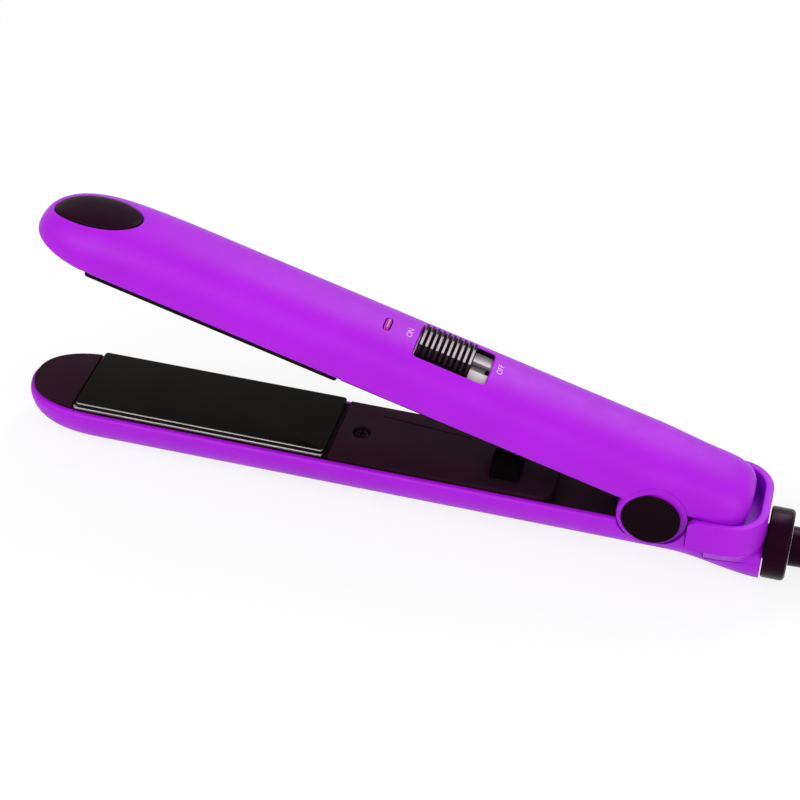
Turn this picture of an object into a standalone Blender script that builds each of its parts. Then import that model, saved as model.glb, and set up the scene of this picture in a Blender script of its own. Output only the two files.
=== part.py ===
# Flat iron: two hinged arms with hot plates, a slide switch, a cord swivel and its mains lead.
# Metres, +Z up. Pieces of the arms are modelled with the plates level, the plate centre at the
# origin and +X towards the cord; an empty then lays the iron down on its nose and its cord boss.

import math

import bmesh
import bpy
from mathutils import Vector

for old in list(bpy.data.objects):
    bpy.data.objects.remove(old)

# Arm profile
TIP_X = -0.0666
NOSE_LENGTH = 0.0270
NOSE_POWER = 2.35
NOSE_STEPS = (0.004, 0.03, 0.085, 0.17, 0.29, 0.44, 0.62, 0.81, 1.0)
LOWER_FALL_LENGTH = 0.0315
LOWER_FALL_POWER = 2.8
UPPER_FALL_LENGTH = 0.0550
UPPER_FALL_POWER = 2.5
ARM_HALF = 0.0176
RIM_Z = 0.0032
ARM_DEPTH = 0.0161
ARM_POWER = 2.4
WALL = 0.0021
GAP = 0.0003
UPPER_TIP_INSET = 0.0001

# Hinge
HINGE_X = 0.1577
HINGE_Z = 0.0006
OPEN_ANGLE = math.radians(16.15)
KNUCKLE_RADIUS = 0.0117
KNUCKLE_INNER_Y = 0.0142
KNUCKLE_OUTER_Y = 0.0180
CAP_RADIUS = 0.0097
CAP_OUTER_Y = 0.0187
CAP_SEAT_Y = 0.0167
PIN_RADIUS = 0.0024
PIN_HALF = 0.0163
EAR_INNER_Y = 0.0108
EAR_OUTER_Y = 0.0136
EAR_RADIUS = 0.0070

# Tail of the upper arm and the cradle round it
TAPER_START = 0.1495
TAPER_END = 0.1700
TAIL_HALF = 0.0154
TAIL_RIM_Z = 0.0053
TAIL_END = 0.1867
TAIL_ROUND = 0.0130
CRADLE_FRONT = 0.1698
CRADLE_HALF = 0.0180
CRADLE_WALL = 0.0022
CRADLE_CORNER = 0.0125
CRADLE_FLOOR_Z = -0.0052
CRADLE_SKIRT_Z = -0.0090
SKIRT_FRONT = 0.1761
RIM_SLOPE = math.radians(0.6)
RIM_START_Z = 0.0027
CORNER_SLOPE = math.radians(45.0)
CORNER_START_Z = 0.0010

# Cord boss and swivel
FLARE_START = 0.1640
REAR_X = 0.1950
REAR_WALL = 0.0025
BOSS_RADIUS = 0.0127
SWIVEL_Z = -0.0152
COLLAR_RADIUS = 0.0122
COLLAR_END = 0.2035
JOURNAL_RADIUS = 0.0060
FLANGE_RADIUS = 0.0089
RELIEF_END = 0.2380
RELIEF_BASE = 0.0068
RELIEF_TIP = 0.0042

# Plates and what lies under them
PLATE_LENGTH = 0.0900
PLATE_WIDTH = 0.0300
PLATE_THICK = 0.0017
FLANGE_OUT = 0.0001
FRAME_BOTTOM = -0.0050
TRAY_Z = -0.0082
COVER_Z = -0.0032
DECK_Z = -0.0014
COVER_END = 0.1240
STEP_END = 0.1450
COVER_STEP_Z = -0.0072
TRAY_HALF = 0.0126
COVER_THICK = 0.0017
SCREW_X = 0.0543
BUMPER_START = 0.1014
BUMPER_END = 0.1118
BUMPER_TOP = 0.0062

# Switch, lamp and thumb rest
WINDOW_START = 0.0648
WINDOW_HALF = 0.0082
SLIDER_LENGTH = 0.0190
SLIDER_TRAVEL = 0.0058
WINDOW_END = WINDOW_START + SLIDER_LENGTH + SLIDER_TRAVEL + 2 * GAP
SLIDER_CROWN = 0.0009
RIB_DEPTH = 0.0012
RIBS = 10
RIB_WIDTH = 0.0011
LAMP_X = 0.0536
REST_X = -0.0483
REST_LENGTH = 0.0290
REST_WIDTH = 0.0168

# How the iron lies
REST_TILT = math.radians(2.03)
SHIFT_X = -0.06898
SHIFT_Z = 0.02060
FLOOR_SLAB = 0.0300

# Mains lead, in the frame of the surface it lies on
CORD = 0.0054
CORD_GAP = 0.0008
LEAD_ROUTE = [
    (0.1700, 0.0000, 0.01383),
    (0.1756, 0.0000, 0.01400),
    (0.1850, -0.0015, 0.01340),
    (0.1950, -0.0062, 0.01170),
    (0.2060, -0.0135, 0.00890),
    (0.2170, -0.0207, 0.00610),
    (0.2270, -0.0252, 0.00445),
    (0.2345, -0.0263, 0.00400),
    (0.2399, -0.0264, 0.00400),
]
HANK_X = 0.2867
HANK_RUN = 0.0405
HANK_FOLD = 0.0162
HANK_WAIST = 0.0050
HANK_WAIST_STEP = 1.20
HANK_BASE_Z = 0.0040
HANK_CLIMBS = (1.65, 3.15, 4.65)
HANK_TURNS = 5.8
CLIMB_WINDOW = 0.13
POINTS_PER_TURN = 24
TIE_WIDTH = 0.0080
TIE_THICK = 0.0008
PLUG_X = 0.1905
PLUG_Y = 0.0178
PLUG_Z = 0.0085
PLUG_LENGTH = 0.0360
PLUG_WIDTH = 0.0220
PLUG_HEIGHT = 0.0150
BLADE_LENGTH = 0.0170
BLADE_PITCH = 0.0127

ROUND_SIDES = 28
SECTION_POINTS = 17


# Materials
def finish(name, colour, roughness, metallic=0.0):
    material = bpy.data.materials.new(name)
    material.use_nodes = True
    shader = material.node_tree.nodes["Principled BSDF"]
    shader.inputs["Base Color"].default_value = (*colour, 1.0)
    shader.inputs["Roughness"].default_value = roughness
    shader.inputs["Metallic"].default_value = metallic
    return material


PURPLE = finish("purple_casing", (0.36, 0.02, 0.78), 0.42)
BLACK = finish("black_inner_plastic", (0.025, 0.014, 0.020), 0.45)
SOFT_BLACK = finish("soft_black_grip", (0.030, 0.012, 0.022), 0.50)
GLOSS_BLACK = finish("gloss_black_track", (0.09, 0.07, 0.11), 0.15)
CERAMIC = finish("ceramic_plate", (0.012, 0.011, 0.010), 0.12)
PINK = finish("indicator_pink", (0.80, 0.05, 0.45), 0.20)
STEEL = finish("steel", (0.55, 0.55, 0.57), 0.30, 1.0)
SPRING_STEEL = finish("spring_steel", (0.45, 0.45, 0.47), 0.35, 1.0)
ALUMINIUM = finish("aluminium", (0.70, 0.70, 0.72), 0.40, 1.0)
MICA = finish("mica_heater", (0.72, 0.62, 0.42), 0.60)
SILICONE = finish("silicone_pad", (0.75, 0.75, 0.72), 0.60)
BOARD = finish("board_green", (0.03, 0.20, 0.09), 0.50)
WHITE = finish("white_nylon", (0.80, 0.80, 0.78), 0.50)
RED_WIRE = finish("red_lead", (0.55, 0.02, 0.02), 0.45)
BLUE_WIRE = finish("blue_lead", (0.02, 0.08, 0.50), 0.45)
CORD_BLACK = finish("black_cord", (0.020, 0.014, 0.018), 0.50)
BRASS = finish("brass_blade", (0.72, 0.55, 0.25), 0.30, 1.0)


# Frames that the pieces hang on
def empty(name, parent=None, location=(0, 0, 0), turn=0.0):
    frame = bpy.data.objects.new(name, None)
    bpy.context.collection.objects.link(frame)
    frame.parent = parent
    frame.location = location
    frame.rotation_euler = (0, turn, 0)
    return frame


IRON = empty("iron", None, (SHIFT_X, 0, SHIFT_Z), -REST_TILT)
UPPER_PIVOT = empty("upper_pivot", IRON, (HINGE_X, 0, HINGE_Z), OPEN_ANGLE)
UPPER = empty("upper_frame", UPPER_PIVOT, (-HINGE_X, 0, -HINGE_Z))
SWIVEL = empty("swivel_axis", IRON, (REAR_X, 0, SWIVEL_Z))
TURNING = empty("turning_frame", SWIVEL, (-REAR_X, 0, -SWIVEL_Z))


# Shape helpers
def add_mesh(name, bm, parent, material):
    bmesh.ops.recalc_face_normals(bm, faces=bm.faces)
    mesh = bpy.data.meshes.new(name)
    bm.to_mesh(mesh)
    bm.free()
    mesh.materials.append(material)
    mesh.shade_smooth()
    mesh.set_sharp_from_angle(angle=math.radians(35))
    piece = bpy.data.objects.new(name, mesh)
    bpy.context.collection.objects.link(piece)
    piece.parent = parent
    return piece


def loft(name, rings, parent, material):
    bm = bmesh.new()
    loops = [[bm.verts.new(point) for point in ring] for ring in rings]
    for first, second in zip(loops, loops[1:]):
        for i in range(len(first)):
            j = (i + 1) % len(first)
            bm.faces.new((first[i], first[j], second[j], second[i]))
    bm.faces.new(loops[0])
    bm.faces.new(loops[-1])
    return add_mesh(name, bm, parent, material)


def block(name, low, high, parent, material, bevel=0.0):
    bm = bmesh.new()
    bmesh.ops.create_cube(bm, size=1.0)
    for vert in bm.verts:
        vert.co = Vector([low[k] + (vert.co[k] + 0.5) * (high[k] - low[k]) for k in range(3)])
    if bevel:
        bmesh.ops.bevel(bm, geom=list(bm.edges), offset=bevel, segments=2, profile=0.5, affect="EDGES")
    return add_mesh(name, bm, parent, material)


def turned_x(name, profile, centre_z, parent, material, sides=ROUND_SIDES):
    """A round piece about an axis along X; the profile holds (x, radius) pairs."""
    rings = []
    for x, radius in profile:
        angles = [2 * math.pi * i / sides for i in range(sides)]
        rings.append([(x, radius * math.cos(a), centre_z + radius * math.sin(a)) for a in angles])
    return loft(name, rings, parent, material)


def turned_y(name, profile, centre, parent, material, sides=ROUND_SIDES):
    """A round piece about an axis along Y; the profile holds (y, radius) pairs."""
    rings = []
    for y, radius in profile:
        angles = [2 * math.pi * i / sides for i in range(sides)]
        circle = [(centre[0] + radius * math.cos(a), centre[1] + radius * math.sin(a)) for a in angles]
        rings.append([(x, y, z) for x, z in circle])
    return loft(name, rings, parent, material)


def oval_post(name, centre_x, half_x, half_y, power, low, high, parent, material, sides=36):
    """An upright post with a superellipse outline."""
    outline = []
    for i in range(sides):
        a = 2 * math.pi * i / sides
        x = half_x * math.copysign(abs(math.cos(a)) ** (2 / power), math.cos(a))
        y = half_y * math.copysign(abs(math.sin(a)) ** (2 / power), math.sin(a))
        outline.append((centre_x + x, y))
    rings = [[(x, y, z) for x, y in outline] for z in (low, high)]
    return loft(name, rings, parent, material)


def combine(target, tool, operation):
    modifier = target.modifiers.new(operation.lower() + "_" + tool.name, "BOOLEAN")
    modifier.operation = operation
    modifier.object = tool
    modifier.solver = "EXACT"
    tool.hide_render = True
    tool.display_type = "WIRE"


def cut(target, tool):
    combine(target, tool, "DIFFERENCE")


def join(target, tool):
    combine(target, tool, "UNION")


def keep_inside(target, tool):
    combine(target, tool, "INTERSECT")


def wire(name, points, radius, parent, material, sides_step=2):
    curve = bpy.data.curves.new(name, "CURVE")
    curve.dimensions = "3D"
    curve.bevel_depth = radius
    curve.bevel_resolution = sides_step
    curve.use_fill_caps = True
    spline = curve.splines.new("POLY")
    spline.points.add(len(points) - 1)
    for target, point in zip(spline.points, points):
        target.co = (*point, 1.0)
    curve.materials.append(material)
    piece = bpy.data.objects.new(name, curve)
    bpy.context.collection.objects.link(piece)
    piece.parent = parent
    return piece


def smooth_route(points, per_span):
    """Points on a Catmull-Rom curve through the given ones."""
    given = [Vector(p) for p in points]
    ends = [given[0] * 2 - given[1], *given, given[-1] * 2 - given[-2]]
    route = []
    for a, b, c, d in zip(ends, ends[1:], ends[2:], ends[3:]):
        for k in range(per_span):
            t = k / per_span
            point = b * 2 + (c - a) * t + (a * 2 - b * 5 + c * 4 - d) * t ** 2
            route.append((point + (b * 3 - a - c * 3 + d) * t ** 3) / 2)
    return [*route, given[-1]]


def ease(t):
    t = min(max(t, 0.0), 1.0)
    return t * t * (3 - 2 * t)


def mix(a, b, t):
    return a + (b - a) * t


# Arm sections: a station is (x, half width, rim height, depth, power), drawn hanging below the rim
def arm_ring(station, side, lift=0.0):
    x, half, rim, depth, power = station
    ring = []
    for i in range(SECTION_POINTS):
        a = math.pi * i / (SECTION_POINTS - 1)
        y = -half * math.copysign(abs(math.cos(a)) ** (2 / power), math.cos(a))
        ring.append((x, y, side * (rim + depth * math.sin(a) ** (2 / power))))
    if lift:
        ring.append((x, half, side * (rim - lift)))
        ring.append((x, -half, side * (rim - lift)))
    return ring


def rounded(share, power):
    return (1 - (1 - min(share, 1.0)) ** power) ** (1 / power)


def nose_stations(tip, offset, fall_length, fall_power):
    steps = [NOSE_LENGTH * u for u in NOSE_STEPS]
    steps += [mix(NOSE_LENGTH, fall_length, k / 4) for k in range(1, 5)]
    stations = []
    for step in steps:
        half = (ARM_HALF - offset) * rounded(step / NOSE_LENGTH, NOSE_POWER)
        depth = (ARM_DEPTH - offset) * rounded(step / fall_length, fall_power)
        stations.append((tip + offset + step, half, RIM_Z, depth, ARM_POWER))
    return stations


def boss_station(x, offset):
    t = ease((x - FLARE_START) / (REAR_X - FLARE_START))
    half = mix(ARM_HALF, BOSS_RADIUS, t) - offset
    depth = mix(ARM_DEPTH, BOSS_RADIUS, t) - offset
    return (x, half, mix(RIM_Z, -SWIVEL_Z, t), depth, mix(ARM_POWER, 2.0, t))


def boss_half_width(x, z):
    """Half the width of the lower casing at a height below its rim."""
    _, half, rim, depth, power = boss_station(x, 0.0)
    share = min(max((-z - rim) / depth, 0.0), 1.0)
    return half * (1 - share ** power) ** (1 / power)


def lower_rings(offset=0.0, lift=0.0):
    rear = REAR_X - (REAR_WALL if offset > 0 else 0.0)
    stations = nose_stations(TIP_X, offset, LOWER_FALL_LENGTH, LOWER_FALL_POWER)
    stations.append((FLARE_START, ARM_HALF - offset, RIM_Z, ARM_DEPTH - offset, ARM_POWER))
    stations += [boss_station(mix(FLARE_START, rear, k / 6), offset) for k in range(1, 7)]
    return [arm_ring(station, -1, lift) for station in stations]


def upper_rings(offset=0.0, lift=0.0):
    stations = nose_stations(TIP_X + UPPER_TIP_INSET, offset, UPPER_FALL_LENGTH, UPPER_FALL_POWER)
    half = TAIL_HALF - offset
    depth = ARM_DEPTH + RIM_Z - TAIL_RIM_Z - offset
    for k in range(8):
        t = ease(k / 7)
        rim = mix(RIM_Z, TAIL_RIM_Z, t)
        x = mix(TAPER_START, TAPER_END, k / 7)
        side = mix(ARM_HALF, TAIL_HALF, t) - offset
        stations.append((x, side, rim, ARM_DEPTH + RIM_Z - rim - offset, ARM_POWER))
    for u in (1.0, 0.66, 0.36, 0.14, 0.02):
        shrink = (1 - (1 - u) ** 2.6) ** (1 / 2.6)
        x = TAIL_END - offset - (TAIL_ROUND - offset) * u
        tail_half = half * mix(0.55, 1.0, shrink)
        stations.append((x, tail_half, TAIL_RIM_Z, depth * mix(0.45, 1.0, shrink), ARM_POWER))
    return [arm_ring(station, 1, lift) for station in stations]


# Lower casing with its hinge ears and the lower half of the cord boss
def lower_casing():
    casing = loft("lower_casing", lower_rings(), IRON, PURPLE)
    cut(casing, loft("lower_hollow", lower_rings(WALL, 0.010), IRON, PURPLE))
    for name, sign in (("near", -1), ("far", 1)):
        y_span = sorted((sign * EAR_INNER_Y, sign * EAR_OUTER_Y))
        low = (HINGE_X - EAR_RADIUS, y_span[0], -0.0165)
        high = (HINGE_X + EAR_RADIUS, y_span[1], HINGE_Z)
        web = block(f"{name}_ear_web", low, high, IRON, PURPLE)
        keep_inside(web, loft(f"{name}_web_limit", lower_rings(WALL / 3), IRON, PURPLE))
        join(casing, web)
        profile = [(y_span[0], EAR_RADIUS), (y_span[1], EAR_RADIUS)]
        join(casing, turned_y(f"{name}_ear", profile, (HINGE_X, HINGE_Z), IRON, PURPLE))
        pocket = sorted((sign * (EAR_OUTER_Y), sign * 0.030))
        profile = [(pocket[0], KNUCKLE_RADIUS + 0.0004), (pocket[1], KNUCKLE_RADIUS + 0.0004)]
        cut(casing, turned_y(f"{name}_knuckle_pocket", profile, (HINGE_X, HINGE_Z), IRON, PURPLE))
    bore = [(-0.030, PIN_RADIUS + 0.0004), (0.030, PIN_RADIUS + 0.0004)]
    cut(casing, turned_y("ear_bore", bore, (HINGE_X, HINGE_Z), IRON, PURPLE, 20))
    low = (SKIRT_FRONT - GAP, -0.030, SWIVEL_Z)
    cut(casing, block("cradle_seat", low, (0.210, 0.030, 0.010), IRON, PURPLE))
    low = (CRADLE_FRONT - GAP, -0.030, CRADLE_SKIRT_Z - GAP)
    cut(casing, block("cradle_side_seat", low, (SKIRT_FRONT, 0.030, 0.010), IRON, PURPLE))
    hole = [(0.180, JOURNAL_RADIUS + 0.0004), (0.210, JOURNAL_RADIUS + 0.0004)]
    cut(casing, turned_x("casing_swivel_hole", hole, SWIVEL_Z, IRON, PURPLE))
    floor = block("floor_plane", (-0.300, -0.100, -FLOOR_SLAB), (0.300, 0.100, 0.0), None, PURPLE)
    cut(casing, floor)
    return casing


# Cradle wall that the tail of the upper arm sinks into, with the upper half of the cord boss
def cradle_outline(front, half, rear, corner, points=6):
    outline = [(front, -half)]
    for i in range(points + 1):
        a = -math.pi / 2 + math.pi / 2 * i / points
        outline.append((rear - corner + corner * math.cos(a), -half + corner + corner * math.sin(a)))
    mirrored = [(x, -y) for x, y in reversed(outline)]
    return outline + mirrored


def seam_outline(points=7):
    outline = []
    for i in range(points + 1):
        x = mix(SKIRT_FRONT, REAR_X, i / points)
        outline.append((x, -boss_half_width(x, SWIVEL_Z) + 0.00002))
    return outline + [(x, -y) for x, y in reversed(outline)]


def cradle():
    top = 0.0200
    upper = cradle_outline(SKIRT_FRONT, CRADLE_HALF, REAR_X, CRADLE_CORNER)
    seam = seam_outline()
    seam_z = SWIVEL_Z + GAP
    wings = cradle_outline(CRADLE_FRONT, CRADLE_HALF, REAR_X, CRADLE_CORNER)
    rings = [[(x, y, seam_z) for x, y in seam]]
    rings.append([(x, y, CRADLE_SKIRT_Z) for x, y in upper])
    rings.append([(x, y, CRADLE_SKIRT_Z + 0.0001) for x, y in wings])
    rings.append([(x, y, top) for x, y in wings])
    body = loft("rear_cradle", rings, IRON, PURPLE)
    inner_rear = REAR_X - CRADLE_WALL - 0.0006
    inner_half = CRADLE_HALF - CRADLE_WALL
    inner_corner = CRADLE_CORNER - CRADLE_WALL
    inner = cradle_outline(CRADLE_FRONT - 0.010, inner_half, inner_rear, inner_corner)
    rings = [[(x, y, z) for x, y in inner] for z in (CRADLE_FLOOR_Z, top + 0.010)]
    cut(body, loft("cradle_hollow", rings, IRON, PURPLE))
    front_half = inner_half - 0.0020
    low = (CRADLE_FRONT - 0.010, -front_half, -0.030)
    high = (SKIRT_FRONT + 0.0030, front_half, CRADLE_FLOOR_Z + 0.002)
    cut(body, block("cradle_front", low, high, IRON, PURPLE))
    for name, height, slope in (("rim", RIM_START_Z, RIM_SLOPE), ("corner", CORNER_START_Z, CORNER_SLOPE)):
        above = block(f"{name}_plane", (-0.050, -0.050, 0.0), (0.080, 0.050, 0.050), IRON, PURPLE)
        above.location = (CRADLE_FRONT, 0, height)
        above.rotation_euler = (0, -slope, 0)
        cut(body, above)
    pocket = [(0.160, FLANGE_RADIUS + 0.0004), (REAR_X - REAR_WALL, FLANGE_RADIUS + 0.0004)]
    cut(body, turned_x("flange_pocket", pocket, SWIVEL_Z, IRON, PURPLE))
    hole = [(0.180, JOURNAL_RADIUS + 0.0004), (0.210, JOURNAL_RADIUS + 0.0004)]
    cut(body, turned_x("cradle_swivel_hole", hole, SWIVEL_Z, IRON, PURPLE))
    return body


# Upper casing with its hinge knuckles, switch window, lamp hole and thumb rest seat
def upper_skin(name, offset):
    return loft(name, upper_rings(offset), UPPER, PURPLE)


def rest_post(name, margin, low, high):
    return oval_post(
        name, REST_X, REST_LENGTH / 2 + margin, REST_WIDTH / 2 + margin, 2.0, low, high, UPPER, SOFT_BLACK
    )


def lamp_post(name, margin, low, high):
    return oval_post(name, LAMP_X, 0.0010 + margin, 0.0029 + margin, 4.0, low, high, UPPER, PINK, 20)


def upper_casing():
    casing = upper_skin("upper_casing", 0.0)
    cut(casing, loft("upper_hollow", upper_rings(WALL, 0.012), UPPER, PURPLE))
    for name, sign in (("near", -1), ("far", 1)):
        span = sorted((sign * KNUCKLE_INNER_Y, sign * KNUCKLE_OUTER_Y))
        edge = 0.0008
        outer = KNUCKLE_RADIUS
        if sign < 0:
            profile = [(span[0], outer - edge), (span[0] + edge, outer), (span[1], outer)]
        else:
            profile = [(span[0], outer), (span[1] - edge, outer), (span[1], outer - edge)]
        join(casing, turned_y(f"{name}_knuckle", profile, (HINGE_X, HINGE_Z), UPPER, PURPLE, 36))
        seat = sorted((sign * CAP_SEAT_Y, sign * 0.030))
        profile = [(seat[0], CAP_RADIUS + GAP), (seat[1], CAP_RADIUS + GAP)]
        cut(casing, turned_y(f"{name}_cap_seat", profile, (HINGE_X, HINGE_Z), UPPER, PURPLE, 36))
    bore = [(-0.030, PIN_RADIUS + 0.0004), (0.030, PIN_RADIUS + 0.0004)]
    cut(casing, turned_y("knuckle_bore", bore, (HINGE_X, HINGE_Z), UPPER, PURPLE, 20))
    seat = rest_post("rest_seat", GAP, 0.0, 0.030)
    cut(seat, upper_skin("rest_seat_floor", 0.0015))
    cut(casing, seat)
    middle = (WINDOW_START + WINDOW_END) / 2
    half = (WINDOW_END - WINDOW_START) / 2
    cut(casing, oval_post("window", middle, half, WINDOW_HALF, 30.0, 0.010, 0.030, UPPER, PURPLE, 44))
    cut(casing, lamp_post("lamp_hole", GAP, 0.010, 0.030))
    return casing


def thumb_rest():
    rest = rest_post("thumb_rest", 0.0, 0.0, 0.030)
    keep_inside(rest, upper_skin("rest_top", -0.0004))
    cut(rest, upper_skin("rest_underside", 0.0012))
    return rest


# Slide switch: track under the window, ribbed slider on it and the switch below
def switch_parts():
    middle = (WINDOW_START + WINDOW_END) / 2
    track = block("switch_track", (0.0610, -0.0104, 0.005), (0.0940, 0.0104, 0.030), UPPER, GLOSS_BLACK)
    keep_inside(track, upper_skin("track_top", WALL + 0.0003))
    cut(track, upper_skin("track_underside", WALL + 0.0016))
    slot = (WINDOW_START + 0.004, -0.0020, 0.005)
    cut(track, block("track_slot", slot, (WINDOW_END + 0.0010, 0.0020, 0.030), UPPER, BLACK))

    slide_frame = empty("slide_axis", UPPER, (middle, 0, RIM_Z + ARM_DEPTH))
    local = empty("slide_frame", slide_frame, (-middle, 0, -RIM_Z - ARM_DEPTH))
    start = WINDOW_START + GAP
    half = WINDOW_HALF - GAP
    high = (start + SLIDER_LENGTH, half, 0.030)
    slider = block("power_slider", (start, -half, 0.005), high, local, BLACK)
    keep_inside(slider, upper_skin("slider_top", -SLIDER_CROWN))
    cut(slider, upper_skin("slider_underside", WALL))
    pitch = SLIDER_LENGTH / RIBS
    for i in range(RIBS - 1):
        x = start + pitch * (i + 1)
        low = (x - (pitch - RIB_WIDTH) / 2, -0.020, 0.005)
        high = (x + (pitch - RIB_WIDTH) / 2, 0.020, 0.030)
        groove = block(f"rib_groove_{i}", low, high, local, BLACK)
        cut(groove, upper_skin(f"rib_floor_{i}", RIB_DEPTH - SLIDER_CROWN))
        cut(slider, groove)
    stem_x = start + 0.0080
    low = (stem_x - 0.0035, -0.0014, 0.0142)
    join(slider, block("slider_stem", low, (stem_x + 0.0035, 0.0014, 0.0180), local, BLACK))

    block("switch_body", (0.0690, -0.0050, 0.0098), (0.0895, 0.0050, 0.0136), UPPER, WHITE, 0.0004)
    block("circuit_board", (0.0480, -0.0090, 0.0080), (0.1040, 0.0090, 0.0094), UPPER, BOARD)


def indicator():
    lens = lamp_post("indicator_lens", 0.0, 0.010, 0.030)
    keep_inside(lens, upper_skin("lens_top", -0.0004))
    cut(lens, upper_skin("lens_underside", WALL + 0.0008))
    profile = [(0.0097, 0.0014), (0.0140, 0.0014), (0.0148, 0.0008)]
    angles = [2 * math.pi * i / 16 for i in range(16)]
    rings = [[(LAMP_X + r * math.cos(a), r * math.sin(a), z) for a in angles] for z, r in profile]
    loft("indicator_lamp", rings, UPPER, PINK)


# Inner covers: a flat black face from nose to handle that stands proud of the casing's rim, its lip
# lying on the rim at the nose, with a sunk tray under the plate
def cover_outline(tip, half, end, corner):
    near = []
    for u in NOSE_STEPS[1:]:
        near.append((tip + NOSE_LENGTH * u, -half * rounded(u, NOSE_POWER)))
    for i in range(6):
        a = -math.pi / 2 + math.pi / 2 * i / 5
        near.append((end - corner + corner * math.cos(a), -half + corner + corner * math.sin(a)))
    return near + [(x, -y) for x, y in reversed(near)]


def inner_cover(name, side, parent, tip):
    half = ARM_HALF - WALL - 0.0005
    outline = cover_outline(tip + WALL + 0.0006, half, COVER_END, 0.0060)
    lip = cover_outline(tip + 0.0017, half + 0.0002, COVER_END, 0.0060)
    low, rim = COVER_Z - COVER_THICK, COVER_Z + GAP
    rings = [[(x, y, side * z) for x, y in outline] for z in (low, rim)]
    rings += [[(x, y, side * z) for x, y in lip] for z in (rim + 0.0001, DECK_Z)]
    cover = loft(name, rings, parent, BLACK)

    def slab(title, low, high):
        z_span = sorted((side * low[2], side * high[2]))
        return block(title, (low[0], low[1], z_span[0]), (high[0], high[1], z_span[1]), parent, BLACK)

    ends = PLATE_LENGTH / 2 + 0.0015
    bottom = TRAY_Z - 0.0013
    low = (-ends - 0.0014, -TRAY_HALF, bottom)
    join(cover, slab(f"{name}_tray", low, (ends + 0.0014, TRAY_HALF, COVER_Z - 0.0010)))
    step_x = COVER_END - 0.0080
    low = (step_x, -TRAY_HALF, COVER_STEP_Z - 0.0016)
    join(cover, slab(f"{name}_step", low, (STEP_END, TRAY_HALF, COVER_STEP_Z)))
    web_half = TRAY_HALF - 0.0005
    low = (step_x, -web_half, COVER_STEP_Z - 0.0010)
    join(cover, slab(f"{name}_web", low, (step_x + 0.0016, web_half, COVER_Z - 0.0008)))
    cut(cover, slab(f"{name}_plate_well", (-ends, -0.030, TRAY_Z), (ends, 0.030, 0.010)))
    angles = [2 * math.pi * i / 20 for i in range(20)]
    for title, radius, low in (("screw_seat", 0.0031, COVER_Z - 0.0003), ("screw_hole", 0.0017, -0.0120)):
        circle = [(SCREW_X + radius * math.cos(a), radius * math.sin(a)) for a in angles]
        rings = [[(x, y, side * z) for x, y in circle] for z in (low, 0.0)]
        cut(cover, loft(f"{name}_{title}", rings, parent, BLACK))
    if side < 0:
        low = (BUMPER_START - 0.0008, -0.0104, -0.0080)
        cut(cover, slab(f"{name}_bumper_window", low, (BUMPER_END + 0.0008, 0.0104, 0.0)))
    return cover


def cover_screw(name, side, parent):
    angles = [2 * math.pi * i / 16 for i in range(16)]
    profile = [(COVER_Z - 0.0036, 0.0010), (COVER_Z - 0.0032, 0.0014), (COVER_Z, 0.0014)]
    profile += [(COVER_Z + 0.00005, 0.0026), (COVER_Z + 0.0009, 0.0026), (COVER_Z + 0.0013, 0.0020)]
    rings = [[(SCREW_X + r * math.cos(a), r * math.sin(a), side * z) for a in angles] for z, r in profile]
    screw = loft(name, rings, parent, STEEL)
    for turn, (dx, dy) in enumerate(((0.0018, 0.0003), (0.0003, 0.0018))):
        z_span = sorted((side * (COVER_Z + 0.0005), side * (COVER_Z + 0.0030)))
        low = (SCREW_X - dx, -dy, z_span[0])
        cut(screw, block(f"{name}_drive_{turn}", low, (SCREW_X + dx, dy, z_span[1]), parent, STEEL))


# Hot plate, its frame, heater, clamp and cushions
def plate_set(prefix, side, parent):
    length, width = PLATE_LENGTH / 2, PLATE_WIDTH / 2

    def slab(title, half_x, half_y, low, high, material, middle=0.0):
        z_span = sorted((side * low, side * high))
        corner = (middle - half_x, -half_y, z_span[0])
        return block(f"{prefix}_{title}", corner, (middle + half_x, half_y, z_span[1]), parent, material)

    bevel = 0.0006
    outline = [(0.0, bevel), (bevel, 0.0), (PLATE_THICK, 0.0)]
    outline += [(PLATE_THICK + 0.0001, -FLANGE_OUT), (0.0026, -FLANGE_OUT)]
    rings = []
    for drop, inset in outline:
        x, y, z = length - inset, width - inset, -side * drop
        rings.append([(-x, -y, z), (x, -y, z), (x, y, z), (-x, y, z)])
    loft(f"{prefix}_plate", rings, parent, CERAMIC)
    frame = slab("plate_frame", length + 0.0008, width - 0.0007, FRAME_BOTTOM, -0.0029, BLACK)
    cut(frame, slab("frame_opening", 0.0405, 0.0110, -0.010, 0.0, BLACK))
    slab("heater", 0.0330, 0.0085, -0.0056, -0.0029, MICA, 0.0060)
    slab("heater_clamp", 0.0385, 0.0100, -0.0067, -0.0059, ALUMINIUM)
    slab("cushion_front", 0.0060, 0.0080, -0.0079, -0.0070, SILICONE, -0.0300)
    slab("cushion_rear", 0.0060, 0.0080, -0.0079, -0.0070, SILICONE, 0.0300)


def limiters():
    block("thermostat", (-0.0390, -0.0050, -0.0056), (-0.0290, 0.0050, -0.0029), IRON, WHITE, 0.0004)
    fuse = [(-0.0070, 0.0007), (-0.0055, 0.0013), (0.0055, 0.0013), (0.0070, 0.0007)]
    turned_y("thermal_fuse", fuse, (-0.0335, 0.0044), UPPER, STEEL, 14)


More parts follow.
